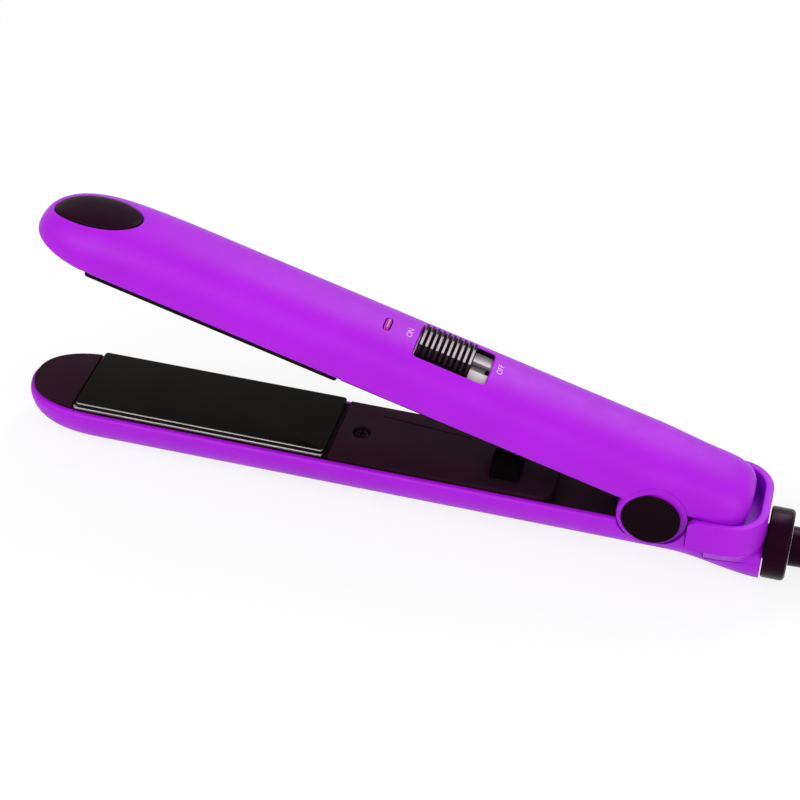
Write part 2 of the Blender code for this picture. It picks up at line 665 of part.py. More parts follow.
# Hinge pin, its caps and the spring that opens the arms
def hinge_parts():
    pin = [(-PIN_HALF, PIN_RADIUS - 0.0004), (-PIN_HALF + 0.0004, PIN_RADIUS)]
    pin += [(-y, r) for y, r in reversed(pin)]
    turned_y("hinge_pin", pin, (HINGE_X, HINGE_Z), IRON, STEEL, 20)
    for name, sign in (("near", -1), ("far", 1)):
        crown = [(CAP_SEAT_Y + GAP, CAP_RADIUS), (CAP_OUTER_Y - 0.0005, CAP_RADIUS)]
        crown += [(CAP_OUTER_Y - 0.0001, CAP_RADIUS - 0.0005), (CAP_OUTER_Y, CAP_RADIUS - 0.0022)]
        profile = [(sign * y, r) for y, r in crown]
        turned_y(f"hinge_cap_{name}", profile, (HINGE_X, HINGE_Z), UPPER, SOFT_BLACK, 36)
    turns, per_turn, radius = 5, 10, 0.0046
    points = [(HINGE_X - 0.0105, -0.0062, HINGE_Z - 0.0052)]
    for i in range(turns * per_turn + 1):
        a = -math.pi / 2 - 2 * math.pi * i / per_turn
        y = mix(-0.0062, 0.0062, i / (turns * per_turn))
        points.append((HINGE_X + radius * math.cos(a), y, HINGE_Z + radius * math.sin(a)))
    points.append((HINGE_X - 0.0100, 0.0066, HINGE_Z - 0.0034))
    wire("opening_spring", points, 0.0006, IRON, SPRING_STEEL, 1)


# Bumper that enters a window of the upper cover and keeps the closed arms in line, terminal block, leads
def small_parts():
    rings = []
    for inset, half, z in ((0.0, 0.0107, DECK_Z + GAP), (0.0005, 0.0066, BUMPER_TOP - 0.0007),
                           (0.0012, 0.0058, BUMPER_TOP)):
        x0, x1 = BUMPER_START + inset, BUMPER_END - inset
        rings.append([(x0, -half, z), (x1, -half, z), (x1, half, z), (x0, half, z)])
    loft("closing_bumper", rings, IRON, BLACK)
    block("terminal_block", (0.1640, -0.0062, -0.0162), (0.1752, 0.0062, -0.0104), IRON, WHITE, 0.0005)
    for name, y, material in (("live", -0.0042, RED_WIRE), ("neutral", 0.0042, BLUE_WIRE)):
        lower = [(0.1636, y, -0.0130), (0.1500, y, -0.0130), (0.1300, y, -0.0135), (0.0900, y, -0.0135)]
        lower += [(0.0560, y * 1.4, -0.0130), (0.0300, y * 1.4, -0.0120), (0.0120, y, -0.0112)]
        wire(f"lower_lead_{name}", smooth_route(lower, 3), 0.0009, IRON, material)
        upper = [(0.1440, y, 0.0115), (0.1300, y, 0.0115), (0.1180, y, 0.0105), (0.1046, y, 0.0087)]
        wire(f"upper_lead_{name}", smooth_route(upper, 3), 0.0009, UPPER, material)


# Cord swivel, strain relief and the mains lead with its plug
def swivel_parts():
    flange_end = REAR_X - REAR_WALL - GAP
    face = REAR_X + GAP
    profile = [(flange_end - 0.0022, FLANGE_RADIUS), (flange_end, FLANGE_RADIUS)]
    profile += [(flange_end, JOURNAL_RADIUS), (face, JOURNAL_RADIUS)]
    profile += [(face, COLLAR_RADIUS - 0.0005), (face + 0.0005, COLLAR_RADIUS)]
    profile += [(COLLAR_END - 0.0008, COLLAR_RADIUS), (COLLAR_END, COLLAR_RADIUS - 0.0010)]
    turned_x("swivel_collar", profile, SWIVEL_Z, TURNING, SOFT_BLACK, 36)
    base = COLLAR_END + GAP
    count = 6
    profile = [(base, RELIEF_BASE)]
    for i in range(count):
        x0 = mix(base + 0.0050, RELIEF_END - 0.0050, i / count)
        x1 = x0 + 0.0022
        radius = mix(RELIEF_BASE, RELIEF_TIP, (x0 - base) / (RELIEF_END - base))
        profile += [(x0, radius), (x0 + 0.0001, radius - 0.0009)]
        profile += [(x1, radius - 0.0010), (x1 + 0.0001, radius - 0.0002)]
    profile += [(RELIEF_END, RELIEF_TIP)]
    turned_x("strain_relief", profile, SWIVEL_Z, TURNING, SOFT_BLACK, 20)


def hank_point(turn):
    """Centre of the cord after so many turns of the hank."""
    pitch = CORD + CORD_GAP
    first, second, third = HANK_CLIMBS
    if turn < first:
        spread = first - turn
    elif turn < second:
        spread = turn - first
    else:
        spread = abs(third - turn)
    out = pitch * spread
    climbed = sum(ease((turn - climb) / (2 * CLIMB_WINDOW) + 0.5) for climb in HANK_CLIMBS)
    z = HANK_BASE_Z + pitch * climbed
    phase = turn % 1.0
    fold = HANK_FOLD + out
    if phase < 0.3 or 0.5 <= phase < 0.8:
        along = phase / 0.3 if phase < 0.3 else 1 - (phase - 0.5) / 0.3
        x = mix(-HANK_RUN, HANK_RUN, along)
        drawn = 0.5 + 0.5 * math.cos(math.pi * x / HANK_RUN)
        y = mix(fold, HANK_WAIST + out * HANK_WAIST_STEP, drawn)
        return Vector((HANK_X + x, -y if phase < 0.3 else y, z))
    if phase < 0.5:
        a = -math.pi / 2 + math.pi * (phase - 0.3) / 0.2
        return Vector((HANK_X + HANK_RUN + fold * math.cos(a), fold * math.sin(a), z))
    a = math.pi / 2 + math.pi * (phase - 0.8) / 0.2
    return Vector((HANK_X - HANK_RUN + fold * math.cos(a), fold * math.sin(a), z))


def least_gap(points, apart):
    """Smallest distance between stretches of the tube that are not neighbours, less its diameter."""
    fine = []
    for a, b in zip(points, points[1:]):
        fine += [a.lerp(b, k / 4) for k in range(4)]
    best = 1.0
    for i, p in enumerate(fine):
        for q in fine[i + apart * 4:]:
            best = min(best, (p - q).length)
    return best - CORD


def mains_lead():
    lead = smooth_route(LEAD_ROUTE, 2)
    wire("cord_lead", lead, CORD / 2, None, CORD_BLACK, 2)

    steps = round(HANK_TURNS * POINTS_PER_TURN)
    hank = [hank_point(HANK_TURNS * i / steps) for i in range(steps + 1)]
    start = hank[0]
    before = [Vector((LEAD_ROUTE[-1][0] + GAP, start.y, start.z))]
    end = hank[-1]
    straight = 0.0100
    reach = end.x - straight - PLUG_X - GAP - CORD
    after = []
    for k in range(8):
        t = k / 7
        bend = 0.5 - 0.5 * math.cos(math.pi * t)
        x = end.x - straight - reach * t
        after.append(Vector((x, mix(end.y, PLUG_Y, bend), mix(end.z, PLUG_Z, bend))))
    after.append(Vector((PLUG_X + GAP, PLUG_Y, PLUG_Z)))
    points = before + hank + after
    wire("cord_hank", points, CORD / 2, None, CORD_BLACK, 1)
    print(f"cord_hank: least gap to itself {least_gap(points, 5) * 1000:.2f} mm")
    length = sum((b - a).length for a, b in zip(lead, lead[1:]))
    length += sum((b - a).length for a, b in zip(points, points[1:]))
    print(f"mains lead: {length:.3f} m")

    pitch = CORD + CORD_GAP
    half = HANK_WAIST + HANK_CLIMBS[0] * pitch * HANK_WAIST_STEP + CORD / 2 + 0.0006
    top = HANK_BASE_Z + len(HANK_CLIMBS) * pitch + CORD / 2 + 0.0006
    outer = half + TIE_THICK
    low = (HANK_X - TIE_WIDTH / 2, -outer, 0.0)
    tie = block("cord_tie", low, (HANK_X + TIE_WIDTH / 2, outer, top + TIE_THICK), None, BLACK)
    low = (HANK_X - TIE_WIDTH, -half, TIE_THICK)
    cut(tie, block("tie_loop", low, (HANK_X + TIE_WIDTH, half, top), None, BLACK))

    sections = [(0.0, 0.42, 0.55), (0.0100, 0.50, 0.65), (0.0190, 0.95, 0.95), (0.0230, 1.0, 1.0)]
    sections += [(PLUG_LENGTH - 0.0012, 1.0, 1.0), (PLUG_LENGTH, 0.92, 0.88)]
    rings = []
    for back, wide, tall in sections:
        ring = []
        for i in range(24):
            a = 2 * math.pi * i / 24
            y = PLUG_WIDTH / 2 * wide * math.copysign(abs(math.cos(a)) ** 0.6, math.cos(a))
            z = PLUG_HEIGHT / 2 * tall * math.copysign(abs(math.sin(a)) ** 0.6, math.sin(a))
            ring.append((PLUG_X - back, PLUG_Y + y, PLUG_Z + z))
        rings.append(ring)
    loft("plug_body", rings, None, CORD_BLACK)
    for name, sign in (("near", -1), ("far", 1)):
        y = PLUG_Y + sign * BLADE_PITCH / 2
        low = (PLUG_X - PLUG_LENGTH - BLADE_LENGTH, y - 0.00075, PLUG_Z - 0.0032)
        high = (PLUG_X - PLUG_LENGTH - GAP, y + 0.00075, PLUG_Z + 0.0032)
        block(f"plug_blade_{name}", low, high, None, BRASS)


lower_casing()
cradle()
upper_casing()
thumb_rest()
switch_parts()
indicator()
inner_cover("lower_inner_cover", 1, IRON, TIP_X)
inner_cover("upper_inner_cover", -1, UPPER, TIP_X + UPPER_TIP_INSET)
cover_screw("lower_cover_screw", 1, IRON)
cover_screw("upper_cover_screw", -1, UPPER)
plate_set("lower", 1, IRON)
plate_set("upper", -1, UPPER)
limiters()
hinge_parts()
small_parts()
swivel_parts()
mains_lead()
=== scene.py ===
# %% [markdown]
# # A flat iron lying open on a table
# The solids of the iron are already made and packed. This lesson dresses them: every piece that
# the eye meets is modelled again with softer edges and finer detail, and given a finish of its own.
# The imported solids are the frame. They say where each piece is and which body it moves with.

# %% Load the frame
from math import asin, copysign, cos, pi, radians, sin, tan

import bmesh
import bpy
from mathutils import Matrix, Vector


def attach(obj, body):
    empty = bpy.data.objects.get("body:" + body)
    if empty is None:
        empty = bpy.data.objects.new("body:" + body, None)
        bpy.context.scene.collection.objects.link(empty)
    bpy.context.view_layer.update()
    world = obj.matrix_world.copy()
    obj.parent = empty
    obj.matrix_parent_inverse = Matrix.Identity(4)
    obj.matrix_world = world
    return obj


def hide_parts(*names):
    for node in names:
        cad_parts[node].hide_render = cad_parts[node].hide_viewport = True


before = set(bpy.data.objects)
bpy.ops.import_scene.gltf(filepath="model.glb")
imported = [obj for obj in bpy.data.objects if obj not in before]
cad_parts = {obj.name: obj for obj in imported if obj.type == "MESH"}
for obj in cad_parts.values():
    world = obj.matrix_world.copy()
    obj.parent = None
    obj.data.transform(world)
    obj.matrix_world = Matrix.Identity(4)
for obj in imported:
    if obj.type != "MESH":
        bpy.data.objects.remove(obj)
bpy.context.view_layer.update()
bpy.context.scene.view_settings.view_transform = "Standard"

# %% [markdown]
# An iron is easiest to draw with its hot plates level and its length along X, so each piece is
# modelled that way round, with the middle of the plate at the origin. Two matrices then take a piece
# to where it lies: the lower arm is tipped by two degrees, because it rests on its nose and on the
# boss of its cord, and the upper arm is also swung open about the hinge.

# %% Where the two arms lie
HINGE = Vector((0.1577, 0.0, 0.0006))
TIPPED, OPENED = radians(2.03), radians(16.15)
LOWER_ARM = Matrix.Translation((-0.06898, 0.0, 0.02060)) @ Matrix.Rotation(-TIPPED, 4, "Y")
SWUNG = Matrix.Translation(HINGE) @ Matrix.Rotation(OPENED, 4, "Y") @ Matrix.Translation(-HINGE)
UPPER_ARM = LOWER_ARM @ SWUNG
ON_TABLE = Matrix.Identity(4)
print("hinge at", [round(v, 4) for v in LOWER_ARM @ HINGE])

# %% [markdown]
# The camera comes first, because it decides how much of the cord is seen. It stands to the right and
# looks down at about forty degrees with a long lens, and it is rolled a little.

# %% Camera
AZIMUTH, ELEVATION, ROLL = (radians(a) for a in (14.092, 39.843, 1.531))
aim = Matrix.Rotation(AZIMUTH, 4, "Z") @ Matrix.Rotation(pi / 2 - ELEVATION, 4, "X")
stand = Matrix.Translation((0.196651, -0.514110, 0.458348)) @ aim @ Matrix.Rotation(ROLL, 4, "Z")
bpy.ops.object.camera_add()
camera = bpy.context.object
camera.name = "portrait_camera"
camera.matrix_world = LOWER_ARM @ stand
camera.data.lens = 92.11
camera.data.sensor_width = 36.0
bpy.context.scene.camera = camera
print("camera at", [round(v, 3) for v in camera.matrix_world.translation])

# %% [markdown]
# Materials and light are made of nodes, so a few short helpers for nodes come first. One of them tells the
# rays by which the camera sees a surface from the rays that light the iron. With it a surface can look
# brighter than it shines.

# %% Helpers for nodes
def set_inputs(node, **values):
    """Set inputs of a node by name, with _ for a space."""
    for name, value in values.items():
        node.inputs[name.replace("_", " ")].default_value = value
    return node


def add_node(tree, kind, **values):
    return set_inputs(tree.nodes.new("ShaderNode" + kind), **values)


def in_sight(tree):
    """One where the camera looks, also in a mirror or through glass, and zero for other rays."""
    rays = add_node(tree, "LightPath")
    value = rays.outputs["Is Camera Ray"]
    for other in ("Is Glossy Ray", "Is Transmission Ray"):
        either = add_node(tree, "Math")
        either.operation = "MAXIMUM"
        tree.links.new(value, either.inputs[0])
        tree.links.new(rays.outputs[other], either.inputs[1])
        value = either.outputs[0]
    return value


def blend_shaders(tree, share, first, second, output):
    blend = add_node(tree, "MixShader")
    for number, source in enumerate((share, first.outputs[0], second.outputs[0])):
        tree.links.new(source, blend.inputs[number])
    tree.links.new(blend.outputs[0], output.inputs["Surface"])


print("nodes can be added, set and blended")

# %% [markdown]
# The table is one large pale sheet. To the camera it glows softly, so that the picture has a white
# ground, and the rest of it is plain matt paint that still takes the shadow of the iron. Brighter lamps
# would whiten the table too, but they would bleach the iron with it.

# %% Table
def deselect():
    if bpy.context.object and bpy.context.object.mode != "OBJECT":
        bpy.ops.object.mode_set(mode="OBJECT")
    bpy.ops.object.select_all(action="DESELECT")


GLOW_SHARE = 0.80
deselect()
bpy.ops.mesh.primitive_plane_add(size=6.0, location=(0, 0, -0.0004))
table = bpy.context.object
table.name = "table_sheet"
paper = bpy.data.materials.new("table_paper")
paper.use_nodes = True
tree = paper.node_tree
tree.nodes.clear()
matt = add_node(tree, "BsdfDiffuse", Color=(0.90, 0.90, 0.90, 1))
glow = add_node(tree, "Emission", Strength=1.03)
share = add_node(tree, "Math")
share.operation = "MULTIPLY"
share.inputs[1].default_value = GLOW_SHARE
tree.links.new(in_sight(tree), share.inputs[0])
blend_shaders(tree, share.outputs[0], matt, glow, add_node(tree, "OutputMaterial"))
table.data.materials.append(paper)
print("table:", table.name, "in", paper.name)

# %% [markdown]
# The light is that of a plain studio. Pale air lights the iron from all round, and looks white to the
# camera. Two large softboxes stand in front, and a narrow one behind draws the sheen along the crown.

# %% Air and softboxes
world = bpy.data.worlds.new("studio_air")
bpy.context.scene.world = world
world.use_nodes = True
tree = world.node_tree
air = set_inputs(tree.nodes["Background"], Color=(1, 1, 1, 1), Strength=0.42)
backdrop = add_node(tree, "Background", Color=(1, 1, 1, 1), Strength=1.0)
blend_shaders(tree, in_sight(tree), air, backdrop, tree.nodes["World Output"])


def softbox(name, place, aim, wide, tall, watts):
    deselect()
    bpy.ops.object.light_add(type="AREA", location=place)
    lamp = bpy.context.object
    lamp.name = name
    lamp.data.shape = "RECTANGLE"
    lamp.data.size, lamp.data.size_y, lamp.data.energy = wide, tall, watts
    lamp.rotation_euler = (Vector(aim) - Vector(place)).to_track_quat("-Z", "Y").to_euler()


softbox("key_softbox", (-0.45, -0.75, 0.95), (0, 0, 0.03), 0.80, 0.80, 7.4)
softbox("fill_softbox", (0.85, -0.55, 0.60), (0, 0, 0.03), 0.70, 0.70, 3.4)
softbox("rim_softbox", (0.25, 0.90, 0.98), (0, 0, 0.05), 0.30, 0.90, 5.6)
print("light: three softboxes and the air of the room")

# %% [markdown]
# The finishes are built from nodes. Moulded plastic is never one flat colour: the pigment drifts
# slightly, the gloss varies where it has been handled, and the skin keeps the fine grain of the mould.
# One recipe does all three with noise read in object space, and each finish sets its own amounts.

# %% A recipe for moulded finishes
def wire(tree, *joins):
    """Join outputs to inputs, each given by its node and its name or number."""
    for source, output, target, entry in joins:
        tree.links.new(source.outputs[output], target.inputs[entry])


def finish(
    name, colour, roughness, grain=0.0004, relief=0.06, drift=0.10, metal=0.0, shine=0.5, tint=(1, 1, 1)
):
    material = bpy.data.materials.new(name)
    material.use_nodes = True
    tree = material.node_tree
    shader = tree.nodes["Principled BSDF"]
    set_inputs(shader, Metallic=metal, Specular_IOR_Level=shine, Specular_Tint=(*tint, 1))
    place = add_node(tree, "TexCoord")
    cloud = add_node(tree, "TexNoise", Scale=38.0, Detail=3.0)
    ramp = add_node(tree, "ValToRGB")
    for element, position, amount in zip(ramp.color_ramp.elements, (0.32, 0.68), (1 - drift, 1 + drift)):
        element.position = position
        element.color = (*[min(c * amount, 1.0) for c in colour], 1)
    touch = add_node(tree, "TexNoise", Scale=160.0, Detail=4.0)
    gloss = add_node(tree, "MapRange", To_Min=roughness * 0.85, To_Max=min(roughness * 1.18, 1.0))
    skin = add_node(tree, "TexNoise", Scale=1.0 / grain, Detail=2.0)
    bump = add_node(tree, "Bump", Strength=relief, Distance=grain * 0.25)
    wire(tree, *[(place, "Object", noise, "Vector") for noise in (cloud, touch, skin)])
    wire(tree, (cloud, "Fac", ramp, "Fac"), (ramp, "Color", shader, "Base Color"))
    wire(tree, (touch, "Fac", gloss, "Value"), (gloss, "Result", shader, "Roughness"))
    wire(tree, (skin, "Fac", bump, "Height"), (bump, "Normal", shader, "Normal"))
    return material


print("the recipe for finishes is defined")

# %% [markdown]
# Every finish of the iron follows from that recipe. The numbers are its colour, its roughness, the size
# of its grain in metres, how strongly the grain stands out, and how far the pigment drifts. The blacks of
# this iron are not neutral: they lean a little to purple.

# %% The finishes
PURPLE = finish("satin_purple_shell", (0.415, 0.0035, 0.72), 0.46, 0.0005, 0.05, 0.05, shine=0.25)
DECK_BLACK = finish("black_heatproof_deck", (0.020, 0.0055, 0.013), 0.50, 0.0006, 0.18, 0.14, shine=0.03)
GRIP_BLACK = finish("soft_black_grip", (0.014, 0.0022, 0.009), 0.30, 0.0004, 0.08, 0.14, shine=0.04)
COLLAR_BLACK = finish(
    "black_swivel_collar", (0.009, 0.0008, 0.005), 0.26, 0.0004, 0.04, 0.14, shine=0.08, tint=(1, 0.30, 0.75)
)
CAP_BLACK = finish("black_hinge_cap", (0.0065, 0.0008, 0.0035), 0.30, 0.0004, 0.06, 0.14, shine=0.03)
RUBBER_BLACK = finish("black_rubber_stop", (0.0020, 0.0010, 0.0015), 0.62, 0.0004, 0.12, 0.14, shine=0.01)
SLIDER_BLACK = finish("black_slider", (0.006, 0.0010, 0.004), 0.40, 0.0004, 0.04, 0.12, shine=0.06)
# Pale, half metallic finish for the crests of the slider's ribs: a painted highlight.
SLIDER_CREST_HIGHLIGHT = finish("slider_crests_painted_highlight", (0.15, 0.115, 0.135), 0.30, 0.0004, 0.02, 0.10, metal=0.6)
BED_LILAC = finish("glossy_slider_bed", (0.36, 0.28, 0.34), 0.18, 0.0005, 0.03, 0.08)
CORD_BLACK = finish("black_cord_jacket", (0.014, 0.007, 0.011), 0.46, 0.0005, 0.16, 0.14, shine=0.25)
MARK_PALE = finish("printed_mark", (0.80, 0.46, 0.86), 0.55, 0.0004, 0.04, 0.05, shine=0.2)
NYLON = finish("white_nylon", (0.74, 0.73, 0.70), 0.50, 0.0005, 0.10, 0.06)
SILICONE = finish("grey_silicone_pad", (0.62, 0.62, 0.60), 0.62, 0.0004, 0.14, 0.06)
RED_WIRE = finish("red_wire_jacket", (0.50, 0.020, 0.020), 0.45, 0.0004, 0.08, 0.08)
BLUE_WIRE = finish("blue_wire_jacket", (0.020, 0.070, 0.45), 0.45, 0.0004, 0.08, 0.08)
BOARD = finish("green_board_lacquer", (0.025, 0.17, 0.075), 0.36, 0.0012, 0.22, 0.30)
STEEL = finish("plated_steel", (0.56, 0.56, 0.58), 0.30, 0.0003, 0.10, 0.10, metal=1.0)
SPRING = finish("oiled_spring_steel", (0.42, 0.42, 0.44), 0.34, 0.0003, 0.10, 0.14, metal=1.0)
DARK_STEEL = finish("blackened_steel", (0.0060, 0.0022, 0.0045), 0.36, 0.0003, 0.10, 0.20, shine=0.02)
ALUMINIUM = finish("milled_aluminium", (0.44, 0.42, 0.40), 0.40, 0.0003, 0.14, 0.10, metal=1.0)
BARE_EDGE = finish("bare_plate_edge", (0.27, 0.255, 0.235), 0.46, 0.0003, 0.10, 0.16, metal=1.0)
BRASS = finish("bare_brass_blade", (0.66, 0.48, 0.20), 0.28, 0.0003, 0.08, 0.10, metal=1.0)
print("materials so far:", len(bpy.data.materials))

# %% [markdown]
# Three finishes need more than the common recipe. The hot plate is metal under a dark ceramic glaze
# with a fine fleck in it. The heater is mica, which splits into sheets, so its clouds are stretched.
# The lens of the lamp is a tinted plastic that lets a little light through. It is also given a faint pink
# glow of its own, though the lamp is not lit: painted light.

# %% Glaze, mica and lens
CERAMIC = finish("black_ceramic_glaze", (0.0046, 0.0040, 0.0032), 0.13, 0.0008, 0.02, 0.25, shine=0.03)
tree = CERAMIC.node_tree
known = tree.nodes
fleck = add_node(tree, "TexVoronoi", Scale=1400.0)
spark = add_node(tree, "MapRange", From_Max=0.16, To_Min=0.35, To_Max=0.0)
flecked = add_node(tree, "Mix")
flecked.data_type = "RGBA"
flecked.inputs[7].default_value = (0.040, 0.042, 0.038, 1)
wire(tree, (known["Texture Coordinate"], "Object", fleck, "Vector"), (fleck, "Distance", spark, "Value"))
wire(tree, (spark, "Result", flecked, 0), (known["Color Ramp"], "Color", flecked, 6))
wire(tree, (flecked, 2, known["Principled BSDF"], "Base Color"))

MICA = finish("mica_sheet", (0.60, 0.48, 0.28), 0.52, 0.0010, 0.20, 0.22)
tree = MICA.node_tree
sheets = add_node(tree, "Mapping", Scale=(0.3, 0.3, 6.0))
wire(tree, (tree.nodes["Texture Coordinate"], "Object", sheets, "Vector"))
wire(tree, (sheets, "Vector", tree.nodes["Noise Texture"], "Vector"))

LENS = finish("pink_lamp_lens", (0.46, 0.012, 0.40), 0.16, 0.0006, 0.04, 0.10, shine=0.35)
lens_shader_painted_glow = LENS.node_tree.nodes["Principled BSDF"]
# A faint pink glow, though the lamp is not lit: painted light.
set_inputs(lens_shader_painted_glow, Transmission_Weight=0.10, Emission_Color=(0.9, 0.10, 0.75, 1), Emission_Strength=0.02)
print("glaze, mica and lens are ready")

# %% [markdown]
# Most pieces of an iron are long, so most are made in one way: a loop of points is laid down, and
# then extruded again and again, each new loop being set to its own section. It is what one does by
# hand with extrude, scale and move. The loop starts as a filled face, so both ends stay closed.

# %% Extruding a loop from section to section
def take(piece, mode="OBJECT"):
    deselect()
    bpy.context.view_layer.objects.active = piece
    piece.select_set(True)
    if mode == "EDIT":
        bpy.ops.object.mode_set(mode="EDIT")


def set_loop(piece, places, loop):
    """Move the selected loop to its new section and remember where each point went."""
    bm = bmesh.from_edit_mesh(piece.data)
    moved = {}
    for vert in bm.verts:
        if vert.select:
            number = places[vert.co[:]]
            vert.co = loop[number]
            moved[vert.co[:]] = number
    bmesh.update_edit_mesh(piece.data)
    return moved


def draw_out(name, loops):
    deselect()
    bpy.ops.mesh.primitive_circle_add(vertices=len(loops[0]), radius=0.01, fill_type="NGON")
    piece = bpy.context.object
    piece.name = piece.data.name = name
    for vert, point in zip(piece.data.vertices, loops[0]):
        vert.co = point
    places = {vert.co[:]: number for number, vert in enumerate(piece.data.vertices)}
    take(piece, "EDIT")
    bpy.ops.mesh.select_all(action="SELECT")
    for loop in loops[1:]:
        bpy.ops.mesh.extrude_region_move()
        places = set_loop(piece, places, loop)
    bpy.ops.mesh.select_all(action="SELECT")
    bpy.ops.mesh.normals_make_consistent(inside=False)
    bpy.ops.object.mode_set(mode="OBJECT")
    return piece


print("a loop can be drawn out")

# %% [markdown]
# Round pieces, such as the collar and the hinge caps, could be spun. Drawn out of circles they need
# no merging at a seam, and one list of places and radii describes each of them.

# %% Round forms
def ellipse_loop(count, spot):
    """Points of a loop from a function of the angle."""
    return [spot(2 * pi * i / count) for i in range(count)]


def bent(value, power):
    return copysign(abs(value) ** (2 / power), value)


def turned_x(name, profile, height, count=48):
    """A round form along X, from pairs of place and radius."""
    def ring(x, radius):
        return ellipse_loop(count, lambda a: (x, radius * cos(a), height + radius * sin(a)))
    return draw_out(name, [ring(*pair) for pair in profile])


def turned_y(name, profile, middle, count=72):
    """A round form along Y, from pairs of place and radius."""
    def ring(y, radius):
        def spot(a):
            return (middle[0] + radius * cos(a), y, middle[2] + radius * sin(a))
        return ellipse_loop(count, spot)
    return draw_out(name, [ring(*pair) for pair in profile])


def bar(radius, *places):
    """The profile of a plain round bar."""
    return [(place, radius) for place in places]


print("round forms can be turned along X and along Y")

# %% [markdown]
# A few more tools of the hand: a block at a given place, modifiers applied as soon as they are set,
# and a bevel on edges that are chosen by their place.

# %% Blocks, modifiers and chosen edges
def block(name, low, high):
    deselect()
    middle = [(a + b) / 2 for a, b in zip(low, high)]
    bpy.ops.mesh.primitive_cube_add(size=1.0, location=middle, scale=[b - a for a, b in zip(low, high)])
    bpy.ops.object.transform_apply()
    piece = bpy.context.object
    piece.name = piece.data.name = name
    return piece


def apply_modifier(piece, kind, **settings):
    take(piece)
    modifier = piece.modifiers.new(kind.lower(), kind)
    for key, value in settings.items():
        setattr(modifier, key, value)
    bpy.ops.object.modifier_apply(modifier=modifier.name)


def soften(piece, width, segments=2, angle=35):
    apply_modifier(
        piece, "BEVEL", width=width, segments=segments, limit_method="ANGLE",
        angle_limit=radians(angle), harden_normals=False, use_clamp_overlap=True,
    )


def carve(piece, tool, operation="DIFFERENCE"):
    apply_modifier(piece, "BOOLEAN", operation=operation, object=tool, solver="EXACT")
    bpy.data.objects.remove(tool)


def weld(piece, tool):
    carve(piece, tool, "UNION")


def bevel_edges(piece, chosen, width, segments):
    """Bevel the edges whose middle and direction the test accepts."""
    take(piece, "EDIT")
    bpy.ops.mesh.select_mode(type="EDGE")
    bm = bmesh.from_edit_mesh(piece.data)
    for edge in bm.edges:
        a, b = (v.co for v in edge.verts)
        edge.select_set(chosen((a + b) / 2, (b - a).normalized()))
    bmesh.update_edit_mesh(piece.data)
    bpy.ops.mesh.bevel(offset=width, segments=segments, affect="EDGES")
    bpy.ops.object.mode_set(mode="OBJECT")


print("the bench is ready")

# %% [markdown]
# Every piece ends in the same way. It is laid where it belongs, shaded smooth except at its sharp edges,
# and tied to the body that it rides on, and the solid that it stands for is hidden. One function does all of
# this, so that no piece misses a step.

# %% The last step of a piece
def hand_over(piece, place, material, body, node, angle=32):
    """Lay a piece where it belongs, shade it, tie it to its body and hide its solid."""
    take(piece)
    if not piece.data.materials:
        piece.data.materials.append(material)
    piece.matrix_world = place
    bpy.ops.object.transform_apply()
    bpy.ops.object.shade_smooth_by_angle(angle=radians(angle))
    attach(piece, body)
    if node:
        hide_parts(node)
    size = [round(v * 1000, 1) for v in piece.dimensions]
    print(f"{piece.name}: {size} mm, {len(piece.data.polygons)} faces, rides {body}")
    return piece


# %% [markdown]
# ## The mains lead
# The lead leaves its sleeve behind the iron, sinks to the table and is then folded up for the shelf:
# the rest of its 1.85 m lies as a tied hank in line with the iron. The hank's turns are flat loops, drawn
# in at the waist, that lie beside and on one another, so one function gives the place at any turn.

# %% Turns of the hank
CORD = 0.0054
CORD_PITCH = CORD + 0.0008
HANK_X, HANK_RUN, HANK_FOLD = 0.2867, 0.0399, 0.0162
HANK_WAIST, HANK_WAIST_STEP, HANK_BASE_Z = 0.0050, 1.20, 0.0040
HANK_CLIMBS, HANK_TURNS, CLIMB_WINDOW = (1.65, 3.15, 4.65), 5.8, 0.13


def mix(a, b, t):
    return a + (b - a) * t


def ease(t):
    t = min(max(t, 0.0), 1.0)
    return t * t * (3 - 2 * t)


def hank_point(turn):
    first, second, third = HANK_CLIMBS
    if turn < first:
        out = CORD_PITCH * (first - turn)
    elif turn < second:
        out = CORD_PITCH * (turn - first)
    else:
        out = CORD_PITCH * abs(third - turn)
    climbed = sum(ease((turn - climb) / (2 * CLIMB_WINDOW) + 0.5) for climb in HANK_CLIMBS)
    z = HANK_BASE_Z + CORD_PITCH * climbed
    phase = turn % 1.0
    fold = HANK_FOLD + out
    if phase < 0.3 or 0.5 <= phase < 0.8:
        along = phase / 0.3 if phase < 0.3 else 1 - (phase - 0.5) / 0.3
        x = mix(-HANK_RUN, HANK_RUN, along)
        drawn = 0.5 + 0.5 * cos(pi * x / HANK_RUN)
        y = mix(fold, HANK_WAIST + out * HANK_WAIST_STEP, drawn)
        return Vector((HANK_X + x, -y if phase < 0.3 else y, z))
    if phase < 0.5:
        a = -pi / 2 + pi * (phase - 0.3) / 0.2
        return Vector((HANK_X + HANK_RUN + fold * cos(a), fold * sin(a), z))
    a = pi / 2 + pi * (phase - 0.8) / 0.2
    return Vector((HANK_X - HANK_RUN + fold * cos(a), fold * sin(a), z))


print("the hank has", HANK_TURNS, "turns")

# %% [markdown]
# The path has three stretches: a smooth curve through a few chosen points, from the sleeve down to the
# table, then the hank, and last a bend across to the plug. Its length is measured along its points,
# because the lead has to be as long as a real one.

# %% The path of the lead
LEAD_ROUTE = [
    (0.1696, 0.0000, 0.01382), (0.1756, 0.0000, 0.01400), (0.1850, -0.0015, 0.01340),
    (0.1950, -0.0062, 0.01170), (0.2060, -0.0135, 0.00890), (0.2170, -0.0207, 0.00610),
    (0.2270, -0.0252, 0.00445), (0.2345, -0.0263, 0.00400), (0.2399, -0.0264, 0.00400),
]
PLUG = Vector((0.1905, 0.0178, 0.0085))
INTO_PLUG, STEPS_PER_TURN = 0.0003, 80


